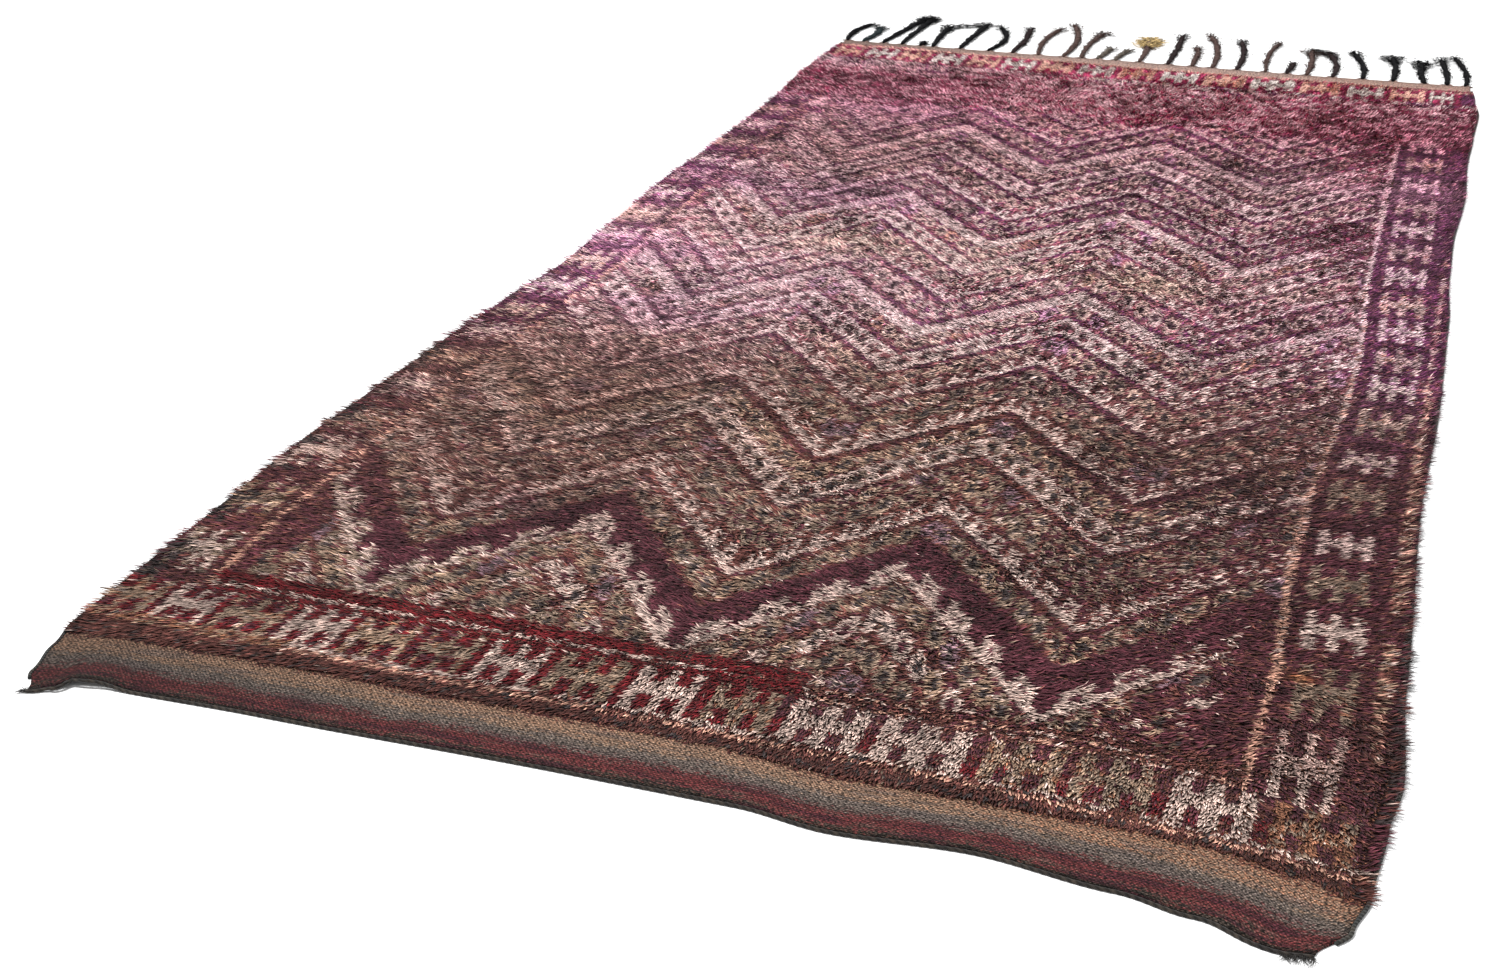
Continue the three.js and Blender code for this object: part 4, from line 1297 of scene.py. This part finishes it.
def cord_material(name, tones, pitch):
    """A twisted or overcast cord: painted light and shade in bands that wind round it once a pitch with
    its ridges, mottled along its length.
    """
    shader = Shader(name, 0.92, 0.1)
    at, x, y = shader.place("cord")
    wind = ((x / pitch + y) * (2 * np.pi)).sine() * 0.5 + 0.5
    tone = shader.graded(shader.streaks(at, 16.0, 0.0), tones)
    fibres = shader.everywhere(700.0)
    # painted highlight on the cord's ridges and painted shade between its turns
    light = (wind * 0.8 + 0.4) * (fibres * 1.2 + 0.4)
    return shader.finish(tone, light, wind + fibres * 0.5, 0.0012, 0.7)


def yarn_material(name, pitch):
    """Two plies wound round each other once a pitch, in the yarn's own colour with painted shade in the
    groove between them.
    """
    shader = Shader(name, 0.95, 0.0)
    at, x, y = shader.place("cord")
    fibres = shader.streaks(at, 260.0, 9.0, 3.0, 0.7)
    groove = ((x / pitch + y * 2.0) * (2 * np.pi)).sine() * 0.5 + 0.5
    # painted shade in the groove between the plies
    light = (groove * 0.5 + 0.55) * (fibres * 1.3 + 0.35)
    return shader.finish(shader.painted(), light, fibres, 0.0006)


def wool_colour(description, colour):
    """A colour property that starts from a 0 to 255 screen colour."""
    default = tuple(float(part) for part in linear(colour))
    return FloatVectorProperty(
        name=description, description=f"Colour of the {description.lower()}", default=default,
        subtype="COLOR", size=3, min=0.0, max=1.0,
    )


def span(name, description, default):
    """A property that is a length in metres."""
    return FloatProperty(name=name, description=description, default=default, unit="LENGTH", min=0.0005)


def whole(name, description, default, least, most):
    """A property that is a whole number."""
    return IntProperty(name=name, description=description, default=default, min=least, max=most)


class RugPileSettings(bpy.types.PropertyGroup):
    columns: whole("Knot columns", "Knots across the rug", 478, 20, 600)
    rows: whole("Knot rows", "Rows of knots along the pile", 866, 20, 1200)
    strips: whole("Strips", "Pieces that the pile is made in", 8, 5, 12)
    lock_length: span("Lock length", "Reach of a lock of wool", 0.0175)
    lock_width: span("Lock width", "Width of a lock at its middle", 0.0036)
    plum: wool_colour("Plum ground wool", (92, 48, 57))
    brown: wool_colour("Brown wool", (114, 70, 64))
    sage: wool_colour("Sage wool", (151, 132, 117))
    light: wool_colour("Pale pink wool", (212, 190, 182))
    orange: wool_colour("Orange wool", (156, 108, 84))
    deep: wool_colour("Dark teal wool", (74, 64, 64))
    red: wool_colour("Dark red wool", (110, 28, 34))
    cream: wool_colour("Tan wool", (176, 150, 130))
    peach: wool_colour("Peach wool", (212, 164, 144))
    magenta: wool_colour("Burgundy wool", (130, 50, 70))
    lilac: wool_colour("Lilac wool", (146, 116, 128))


class RugClothSettings(bpy.types.PropertyGroup):
    flat_width: span("Flat width", "Width of the woven cloth laid flat", 1.77)
    flat_length: span("Flat length", "Length of the woven cloth laid flat", 3.83)
    warp_pitch: span("Warp pitch", "Distance between warps", 0.0054)
    weft_pitch: span("Weft pitch", "Distance between weft beats", 0.0030)


class RugEdgeSettings(bpy.types.PropertyGroup):
    side_cord: span("Side cord", "Width of the overcast side cords", 0.0055)
    end_cord: span("End cord", "Width of the finishing cord", 0.006)
    tassel_twist: span("Tassel twist", "Length of one turn of a tassel's plies", 0.030)
    black: wool_colour("Black tassel wool", (17, 16, 19))
    teal: wool_colour("Teal-grey tassel wool", (42, 50, 52))
    umber: wool_colour("Dark brown tassel wool", (46, 35, 36))
    brown: wool_colour("Brown tassel wool", (84, 66, 62))
    grey: wool_colour("Grey tassel wool", (102, 94, 86))
    cream: wool_colour("Cream tassel wool", (222, 192, 136))
    warp: wool_colour("Gathered warp wool", (176, 148, 138))


class RUG_OT_pile(bpy.types.Operator):
    """Knots the pile, as strips of leaning locks that follow the pattern"""

    bl_idname = "rug.pile"
    bl_label = "Knot the pile"

    def execute(self, context):
        settings = context.scene.rug_pile
        rng = np.random.default_rng(7)
        column, x, y = self.knots(settings, rng)
        angle = self.directions(x, y, rng)
        length = self.lengths(x, y, settings.lock_length, rng)
        u, v, smeared_u, smeared_v = self.chart_places(x, y, angle, length, rng)
        tone = self.strays(pile_tones(smeared_u, smeared_v, rng), rng)
        wools = np.array([tuple(getattr(settings, name)) for name in WOOLS])
        colours = wool_colours(u, v, tone, wools, rng)
        material = wool_material("knotted wool")
        for strip in range(settings.strips):
            low = settings.columns * strip // settings.strips
            high = settings.columns * (strip + 1) // settings.strips
            here = (column >= low) & (column < high)
            locks = (x[here], y[here], angle[here], length[here], colours[here])
            piece = self.strip(f"pile_strip_{strip + 1}", *locks, settings.lock_width, rng)
            dress(piece, material, "rug_body")
        return {"FINISHED"}

    def knots(self, settings, rng):
        """Each knot's column and place: a staggered grid over the pile, a little uneven."""
        column, row = np.meshgrid(np.arange(settings.columns), np.arange(settings.rows), indexing="ij")
        column, row = column.reshape(-1), row.reshape(-1)
        stagger = 0.5 * (row % 2) - 0.25
        share = column + 0.5 + stagger + rng.normal(0, 0.18, column.shape)
        share = 0.0015 + 0.997 * np.clip(share / settings.columns, 0, 1)
        band = 1 + (row + 0.5 + rng.normal(0, 0.20, row.shape)) / settings.rows
        return column, *cloth_plan(share, np.clip(band, 1.0005, 1.9995))

    def directions(self, x, y, rng):
        """Each lock leans to one side and a little to the near end, mostly to its own side of the rug."""
        patch = swing(x, y, 0.12, 21)
        fine = swing(x, y, 0.03, 22)
        to_right = x / 0.30 + 2.6 * patch + 1.6 * fine + rng.normal(0, 0.45, len(x)) > 0
        lean = 0.48 + 0.9 * swing(x, y, 0.09, 26) + 1.2 * swing(x, y, 0.016, 28)
        lean = lean + rng.normal(0, 1, len(x)) * ramp(x, (-0.7, 0.20), (-0.2, 0.34))
        angle = np.where(to_right, -lean, np.pi + lean)
        from_left = x - lookup(LEFT_EDGE, y)
        from_right = lookup(RIGHT_EDGE, y) - x
        stuck = ramp(y, (1.0, 0.50), (1.6, 0.25)) + 0.7 * soft_noise(x, y, 0.03, 24)
        combed = np.clip((0.37 - y) / 0.10, 0, 1) > rng.random(len(x))
        down = -np.pi / 2 - 0.62 * np.clip((0.05 - x) / 0.6, 0, 1)
        angle = np.where(combed, down + 0.6 * fine + rng.normal(0, 0.15, len(x)), angle)
        angle = np.where(from_left < 0.03, np.pi + stuck + rng.normal(0, 0.2, len(x)), angle)
        beside = (from_right < 0.160) & (rng.random(len(x)) < 0.85)
        hanging = -1.15 * np.clip((0.60 - y) / 0.15, 0, 1) - 0.05
        angle = np.where(beside, hanging + 0.7 * fine + rng.normal(0, 0.24, len(x)), angle)
        return np.where(from_right < 0.018, rng.uniform(-0.75, 0.25, len(x)), angle)

    def lengths(self, x, y, usual, rng):
        """How far each lock reaches: less at the near end and over the far half, and more at the left."""
        length = usual * rng.uniform(0.70, 1.18, len(x))
        near = np.clip(0.66 + (y - 0.30) / 0.35, 0.66, 1)
        length = length * np.maximum(near, 0.95 * combed_down(y))
        return length * ramp(y, (1.25, 1.0), (1.75, 0.70)) * ramp(x, (-0.8, 1.25), (-0.4, 1.0))

    def chart_places(self, x, y, angle, length, rng):
        """Where each lock shows on the chart, and the place whose tone it takes where the pile is felted.

        A lock shows at a share of its length from its root. Felted wool is pushed along its run by luck.
        """
        run, _ = flat_run(angle)
        showing = LOCK_SHOWS * length
        u = (x + showing * run[:, 0]) / PATTERN_UNIT + PATTERN_LEFT
        v = (y + showing * run[:, 1]) / PATTERN_UNIT
        felted = ramp(v, *FELTED)
        smear = 0.0006 + 0.010 * np.clip(1.0 - 1.8 * u, 0, 1) * felted
        smear = (smear + 0.004 * np.clip((v - 1.86) / 0.08, 0, 1)) * np.clip((2.13 - v) / 0.02, 0.1, 1)
        push = rng.normal(0, 1, len(u)) * smear
        return u, v, u + push * run[:, 0], v + push * run[:, 1]

    def strays(self, tone, rng):
        """Some knots take another tone, as hand work does."""
        luck = rng.random(tone.shape)
        tones, shares = zip(*STRAY_TONES)
        other = rng.choice(tones, size=tone.shape, p=shares)
        return np.where(luck < STRAY_CHANCES[tone], other, tone)

    def strip(self, name, x, y, angle, length, colours, lock_width, rng):
        """One strip: every lock lies over its neighbours, and those at the sides reach out over the cords.

        A lock is a folded leaf. Its left and right points lie LEAF_WAIST of the way to the tip, and lower.
        """
        count = len(x)
        run, side = flat_run(angle)
        outside = np.minimum(x - lookup(LEFT_EDGE, y), lookup(RIGHT_EDGE, y) - x)
        longer = np.where(x < 0, ramp(y, (1.0, 1.35), (1.6, 1.6)), 1.25)
        ragged = (0.45 + 0.75 * soft_noise(x, y, 0.022, 27)) * longer
        length = np.where(outside < SIDE_ZONE, length * ragged, length)
        standing = np.clip((y / PATTERN_UNIT - 1.84) / 0.06, 0, 1) * rng.uniform(0, 1, count)
        length = length * (1 - 0.35 * standing)
        half = lock_width / 2 * rng.uniform(0.70, 1.25, count)
        ground = lift(x, y)
        lump = 0.0018 * swing(x, y, 0.045, 23) + 0.0030 * swing(x * 0.14, y, 0.030, 25)
        root = np.stack([x, y, ground + ROOT_HEIGHT + lump + rng.normal(0, 0.0006, count)], axis=1)
        tip = root + run * length[:, None]
        uneven = rng.uniform(-0.0026, 0.0030, count) * (1 - 0.5 * combed_down(y))
        tip[:, 2] = ground + TIP_HEIGHT + lump + uneven
        tip[:, 2] += 0.0042 * standing + np.where(outside < SIDE_ZONE, 0.0030, 0)
        side = side * half[:, None]
        side[:, 2] = rng.normal(0, 0.22, count) * half
        waist = root + LEAF_WAIST * (tip - root) - (0.0, 0.0, 0.0007)
        points, threes, places = leaves(root, waist - side, waist + side, tip, FOLDED, LEAF_WAIST)
        shifted = along_strand(places, rng.uniform(0, 40, count))
        maps = {"OFBake": bake_cells(places, count), "strand": shifted}
        return build(name, points, [threes], maps, np.repeat(colours, 4, axis=0))


class RUG_OT_side_cords(bpy.types.Operator):
    """Winds the overcast cords along the two long sides"""

    bl_idname = "rug.side_cords"
    bl_label = "Overcast the sides"

    def execute(self, context):
        width = context.scene.rug_edge.side_cord
        material = cord_material("overcast side yarn", SIDE_YARN, OVERCAST_PITCH)
        low, high = lookup(NEAR_EDGE, 0.0) + 0.026, lookup(FAR_EDGE, 0.0) - 0.026
        for name, node, edge, outward, start, end in SIDE_CORDS:
            y = np.arange(low + start, high + end, OVERCAST_PITCH / 2)
            x = lookup(edge, y) + outward * (CORD_GAP + width / 2)
            path = np.stack([x, y, lift(lookup(edge, y), y) + SIDE_CORD_HEIGHT], axis=1)
            points, faces, places = cord(path, y, width / 2 * 0.94, CORD_SIDES, OVERCAST_PITCH, 0.10)
            piece = build(name, points, faces, {"cord": places})
            dress(piece, material, node)
        return {"FINISHED"}


class RUG_OT_end_cord(bpy.types.Operator):
    """Twines the finishing cord along the near end, with its frayed corners"""

    bl_idname = "rug.end_cord"
    bl_label = "Twine the near end"

    def execute(self, context):
        width = context.scene.rug_edge.end_cord
        rng = np.random.default_rng(15)
        path = self.path(width)
        along = np.linspace(0, 1.74, len(path))
        twined = cord(path, along, width / 2 * 0.95, CORD_SIDES, TWINED_PITCH, 0.09, 0.24)
        no_paint = (0.0, 0.0, 0.0)
        parts = [(*twined, no_paint)]
        for corner, rings, out, count in FRAYED:
            reach = np.linspace(0, rings, count).astype(int)
            start = path[reach if corner == 0 else len(path) - 1 - reach]
            start = start + rng.normal(0, 0.0012, start.shape) * (1, 1, 0.3)
            angle = out + rng.normal(0, 0.35, count)
            length = rng.uniform(0.008, 0.021, count)
            thick = rng.uniform(0.0009, 0.0016, count)
            parts.append((*loose_fibres(start, angle, length, thick, rng), no_paint))
        points, faces, places, _ = join(parts)
        piece = build("near_end_cord", points, faces, {"cord": places})
        material = cord_material("twined end yarn", END_YARN, TWINED_PITCH)
        dress(piece, material, "end_cord_near")
        return {"FINISHED"}

    def path(self, width):
        """The cord's middle line: half its width and a gap out from the cloth's near edge."""
        share = np.linspace(0, 1, 620)
        y = lookup(NEAR_EDGE, share)
        x = across_at(share, y)
        path = np.stack([x, y, lift(x, y) + END_CORD_HEIGHT], axis=1)
        run = np.gradient(path[:, :2], axis=0)
        run /= np.linalg.norm(run, axis=1, keepdims=True)
        path[:, :2] += np.stack([run[:, 1], -run[:, 0]], axis=1) * (CORD_GAP + width / 2)
        return path


class RUG_OT_fringe(bpy.types.Operator):
    """Plies the tassels of the far end and the strip that their roots share"""

    bl_idname = "rug.fringe"
    bl_label = "Ply the tassels"

    def execute(self, context):
        settings = context.scene.rug_edge
        rng = np.random.default_rng(23)
        warp = np.array(settings.warp)
        parts = [(*self.strip(), warp)]
        left, right = LEFT_EDGE[-1][1], RIGHT_EDGE[-1][1]
        for out, reach, drift, bow, slim, head, wool in TASSELS:
            edge = lookup(FAR_EDGE, (out - left) / (right - left)) + CORD_GAP
            colour = np.array(getattr(settings, wool))
            trunk = np.array(settings.brown) if wool == "cream" else colour
            place = lambda way: np.stack([
                out + drift * way**2 + bow * np.sin(np.pi * way), edge + 0.002 + (reach - 0.002) * way,
            ], axis=-1)
            width = TASSEL_LOOSE * slim
            parts.append((*self.trunk(place, reach, width, rng), trunk))
            parts.append(self.brush(place, reach, width, head, trunk, colour, rng))
            parts.append(self.gusset(place, warp, rng))
        for first, last in TASSEL_BRIDGES:
            parts.append(self.bridge(first, last, np.array(settings.black), rng))
        points, faces, places, paint = join(parts)
        piece = build("far_tassels", points, faces, {"cord": places}, paint)
        material = yarn_material("plied tassel yarn", settings.tassel_twist)
        dress(piece, material, "fringe_far")
        return {"FINISHED"}

    def strip(self):
        """A low twisted cord along the far edge, about 6 mm wide and flatter by 0.45 of its height."""
        share = np.linspace(0, 1, 420)
        y = lookup(FAR_EDGE, share)
        x = across_at(share, y)
        path = np.stack([x, y + CORD_GAP + 0.003, np.full_like(x, FAR_STRIP_HEIGHT)], axis=1)
        return cord(path, x, FAR_STRIP_RADIUS, 6, FAR_STRIP_PITCH, 0.12, 0.45)

    def locks(self, start, angle, length, width, colour, rng):
        """Flat locks that leave their start at an angle, as one part to join."""
        run, side = flat_run(angle)
        middle = start + run * (TASSEL_WAIST * length)[:, None]
        middle[:, 2] += rng.uniform(-0.0005, 0.0018, len(start))
        turned, _ = flat_run(angle + rng.normal(0, 0.35, len(start)))
        tip = middle + turned * ((1 - TASSEL_WAIST) * length)[:, None]
        tip[:, 2] += rng.uniform(-0.0015, 0.0015, len(start))
        middle[:, 2] = np.maximum(middle[:, 2], 0.0012)
        tip[:, 2] = np.maximum(tip[:, 2], 0.0008)
        half = side * (width / 2)[:, None]
        points, threes, places = leaves(start, middle - half, middle + half, tip, CLOSED, TASSEL_WAIST)
        shades = np.asarray(colour) * np.exp(rng.normal(0, 0.30, (len(start), 1)))
        places = places.reshape(-1, 2)[:, ::-1] * (0.02, 1.0)
        no_quads = np.zeros((0, 4), dtype=int)
        return points, (no_quads, threes), places, np.repeat(shades, 4, axis=0)

    def trunk(self, place, reach, width, rng):
        """The lumpy core of a tassel, thin at its root and closed at its tip."""
        count = max(9, int(reach / 0.008))
        way = np.linspace(0, 1, count)
        flat = place(way * 0.95)
        swell = 0.42 + 0.30 * np.clip(way / 0.35, 0, 1) + 0.34 * swing(way * reach, 0 * way, 0.022, 61)
        wavering = flat[:, 0] + rng.normal(0, 0.0012, count)
        path = np.stack([wavering, flat[:, 1], np.full(count, TASSEL_HEIGHT)], axis=1)
        radius = 0.5 * width * (swell * np.clip((1 - way) / 0.10, 0.2, 1))[:, None]
        radius = radius * rng.uniform(0.85, 1.15, (count, CORD_SIDES))
        upright = np.abs(np.sin(np.arange(CORD_SIDES) * 2 * np.pi / CORD_SIDES)) > 0.5
        return tube(path, np.minimum(radius, np.where(upright, 0.0045, 1.0)))

    def brush(self, place, reach, width, head, trunk, colour, rng):
        """The loose locks of a tassel, which open out into a brush at its head."""
        count = int((140 + 1000 * reach) * (1 + 0.35 * max(head - 1, 0)))
        opening = 0.74 - 0.12 * min(max(head - 1, 0), 1.5)
        in_head = rng.random(count) < 0.22 * head
        way = np.where(in_head, rng.uniform(opening, 1, count), rng.uniform(0.03, 1, count))
        here, ahead = place(way * 0.97), place(np.minimum(way * 0.97 + 0.02, 1.0))
        heading = np.arctan2(ahead[:, 1] - here[:, 1], ahead[:, 0] - here[:, 0])
        open_by = np.clip((way - opening) / (1 - opening), 0, 1) * head
        slim = 0.55 + 0.45 * np.clip(way / 0.3, 0, 1)
        offset = rng.normal(0, 1, count) * width * (0.27 * slim + 0.20 * np.minimum(open_by, 1.8))
        start = np.stack([
            here[:, 0] + offset * np.sin(heading), here[:, 1] - offset * np.cos(heading),
            rng.uniform(0.0015, 0.0095, count),
        ], axis=1)
        wild = np.where(rng.random(count) < 0.3, 1.0, 0.40) + 0.20 * np.minimum(open_by, 2)
        angle = heading - 22 * offset + rng.normal(0, 1, count) * wild
        length = rng.uniform(0.009, 0.026, count) * (0.66 + 0.30 * np.minimum(open_by, 2.5)) * slim
        shades = np.where((way > 0.60)[:, None], colour[None], trunk[None])
        return self.locks(start, angle, length, rng.uniform(0.0014, 0.0030, count), shades, rng)

    def gusset(self, place, warp, rng):
        """Warps gathered from both sides to a tassel's root, each on a line to a place about 16 mm out."""
        count = 26
        spread = rng.uniform(-1, 1, count)
        foot = place(np.zeros(count))
        height = rng.uniform(0.001, 0.003, count)
        start = np.stack([foot[:, 0] + 0.024 * spread, foot[:, 1] + 0.001, height], axis=1)
        out, across = 0.016 * (1.15 - np.abs(spread)), -0.026 * spread
        length = np.hypot(out, across) * rng.uniform(0.8, 1.1, count)
        return self.locks(start, np.arctan2(out, across), length, np.full(count, 0.0065), warp, rng)

    def bridge(self, first, last, colour, rng):
        """Loose locks matted together on the way between two tassels."""
        count = 260
        way = rng.random(count)
        first, last = np.array(first), np.array(last)
        flat = first + (last - first) * way[:, None] + rng.normal(0, 0.008, (count, 2))
        start = np.concatenate([flat, rng.uniform(0.002, 0.010, (count, 1))], axis=1)
        angle = np.arctan2(last[1] - first[1], last[0] - first[0]) + rng.normal(0, 0.75, count)
        length = rng.uniform(0.010, 0.024, count)
        return self.locks(start, angle, length, rng.uniform(0.0014, 0.0030, count), colour, rng)


class RUG_OT_cloth(bpy.types.Operator):
    """Weaves the cloth that carries the pile, with its two flat-woven ends"""

    bl_idname = "rug.cloth"
    bl_label = "Weave the cloth"

    def execute(self, context):
        settings = context.scene.rug_cloth
        runs = (np.linspace(0, 0.08, 12)[:-1], np.linspace(0.08, 0.92, 100), np.linspace(0.92, 1, 12)[1:])
        bands = (np.linspace(0, 1, 15)[:-1], np.linspace(1, 2, 60), np.linspace(2, 3, 8)[1:])
        share, band = np.meshgrid(np.concatenate(runs), np.concatenate(bands), indexing="ij")
        x, y = cloth_plan(share, band)
        under = lift(x, y)
        rough = 0.0005 * swing(x, y, 0.014, 51) + 0.0004 * swing(x, y, 0.05, 52)
        over = under + np.where((band > 1) & (band < 2), CLOTH_UNDER_PILE, FLAT_WEAVE + rough)
        points = np.concatenate([np.stack([x, y, z], axis=-1).reshape(-1, 3) for z in (over, under)])
        faces = self.closed_faces(*share.shape)
        weave_y = np.where(band < 1.5, y - lookup(NEAR_EDGE, share), y - lookup(FAR_EDGE, share) + 4.0)
        place = np.stack([x, weave_y], axis=-1).reshape(-1, 2)
        corner_places = np.concatenate([place, place])[faces.reshape(-1)]
        piece = build("woven_cloth", points, [faces], {"cloth": corner_places})
        layer = piece.data.attributes.new("band", "FLOAT", "POINT")
        layer.data.foreach_set("value", np.tile(band.reshape(-1), 2).astype(np.float32))
        material = cloth_material("flat weave", settings.warp_pitch, settings.weft_pitch)
        dress(piece, material, "rug_body")
        return {"FINISHED"}

    def closed_faces(self, columns, rows):
        """Quads over the top, back under the bottom, and round the four sides."""
        high = np.arange(columns * rows).reshape(columns, rows)
        low = high + columns * rows
        top = np.stack([high[:-1, :-1], high[1:, :-1], high[1:, 1:], high[:-1, 1:]], axis=-1)
        bottom = np.stack([low[:-1, :-1], low[:-1, 1:], low[1:, 1:], low[1:, :-1]], axis=-1)
        near = np.stack([low[:-1, 0], low[1:, 0], high[1:, 0], high[:-1, 0]], axis=-1)
        far = np.stack([low[1:, -1], low[:-1, -1], high[:-1, -1], high[1:, -1]], axis=-1)
        left = np.stack([low[0, 1:], low[0, :-1], high[0, :-1], high[0, 1:]], axis=-1)
        right = np.stack([low[-1, :-1], low[-1, 1:], high[-1, 1:], high[-1, :-1]], axis=-1)
        return np.concatenate([part.reshape(-1, 4) for part in (top, bottom, near, far, left, right)])


class RUG_OT_stage(bpy.types.Operator):
    """Sets the plain floor, the soft lights and the camera"""

    bl_idname = "rug.stage"
    bl_label = "Set the stage"

    def execute(self, context):
        scene = context.scene
        self.floor(scene)
        world = bpy.data.worlds.new("studio air")
        world.use_nodes = True
        air = world.node_tree.nodes["Background"].inputs
        air["Color"].default_value = (1.0, 1.0, 1.0, 1.0)
        air["Strength"].default_value = AIR_STRENGTH
        scene.world = world
        for lamp in LAMPS:
            self.lamp(scene, *lamp)
        self.camera(scene)
        scene.view_settings.view_transform = "Standard"
        return {"FINISHED"}

    def floor(self, scene):
        """A wide plain floor."""
        mesh = bpy.data.meshes.new("floor")
        mesh.from_pydata([(-30, -30, 0), (30, -30, 0), (30, 30, 0), (-30, 30, 0)], [], [(0, 1, 2, 3)])
        floor = bpy.data.objects.new("floor", mesh)
        scene.collection.objects.link(floor)
        shader = Shader("pale floor", 0.9, 0.0)
        shader.surface.inputs["Base Color"].default_value = (0.86, 0.86, 0.86, 1.0)
        mesh.materials.append(shader.material)
        floor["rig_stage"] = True

    def lamp(self, scene, name, place, size, power):
        """A soft square lamp that faces the middle of the rug."""
        light = bpy.data.lights.new(name, "AREA")
        light.size = size
        light.energy = power
        lamp = bpy.data.objects.new(name, light)
        scene.collection.objects.link(lamp)
        turn = (-Vector(place)).to_track_quat("-Z", "Y").to_matrix().to_4x4()
        lamp.matrix_world = Matrix.Translation(place) @ turn

    def camera(self, scene):
        """The camera, which stands at the near end and looks along the rug."""
        lens = bpy.data.cameras.new("camera")
        lens.lens = CAMERA_LENS
        lens.sensor_width = 36.0
        lens.clip_end = 100.0
        camera = bpy.data.objects.new("camera", lens)
        scene.collection.objects.link(camera)
        turn = Matrix(CAMERA_AXES).transposed().to_4x4()
        camera.matrix_world = Matrix.Translation(CAMERA_PLACE) @ turn
        scene.camera = camera


class RUG_PT_panel(bpy.types.Panel):
    """Lists the rug's settings and the steps that build it"""

    bl_idname = "RUG_PT_panel"
    bl_label = "Rug"
    bl_space_type = "VIEW_3D"
    bl_region_type = "UI"
    bl_category = "Rug"

    def draw(self, context):
        for group in (context.scene.rug_pile, context.scene.rug_cloth, context.scene.rug_edge):
            box = self.layout.box()
            for name in group.__annotations__:
                box.prop(group, name)
        for operator in OPERATORS:
            self.layout.operator(operator.bl_idname)


OPERATORS = (RUG_OT_pile, RUG_OT_side_cords, RUG_OT_end_cord, RUG_OT_fringe, RUG_OT_cloth, RUG_OT_stage)
CLASSES = (RugPileSettings, RugClothSettings, RugEdgeSettings, *OPERATORS, RUG_PT_panel)


def register():
    for one in CLASSES:
        bpy.utils.register_class(one)
    bpy.types.Scene.rug_pile = PointerProperty(type=RugPileSettings)
    bpy.types.Scene.rug_cloth = PointerProperty(type=RugClothSettings)
    bpy.types.Scene.rug_edge = PointerProperty(type=RugEdgeSettings)


def unregister():
    del bpy.types.Scene.rug_edge
    del bpy.types.Scene.rug_cloth
    del bpy.types.Scene.rug_pile
    for one in reversed(CLASSES):
        bpy.utils.unregister_class(one)


def main():
    register()
    bpy.ops.rug.pile()
    bpy.ops.rug.side_cords()
    bpy.ops.rug.end_cord()
    bpy.ops.rug.fringe()
    bpy.ops.rug.cloth()
    bpy.ops.rug.stage()
    boxes = {
        "solids": [list(corner) for corner in SOLID_BOX],
        "visual": [list(corner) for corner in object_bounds()],
    }


if __name__ == "__main__":
    main()
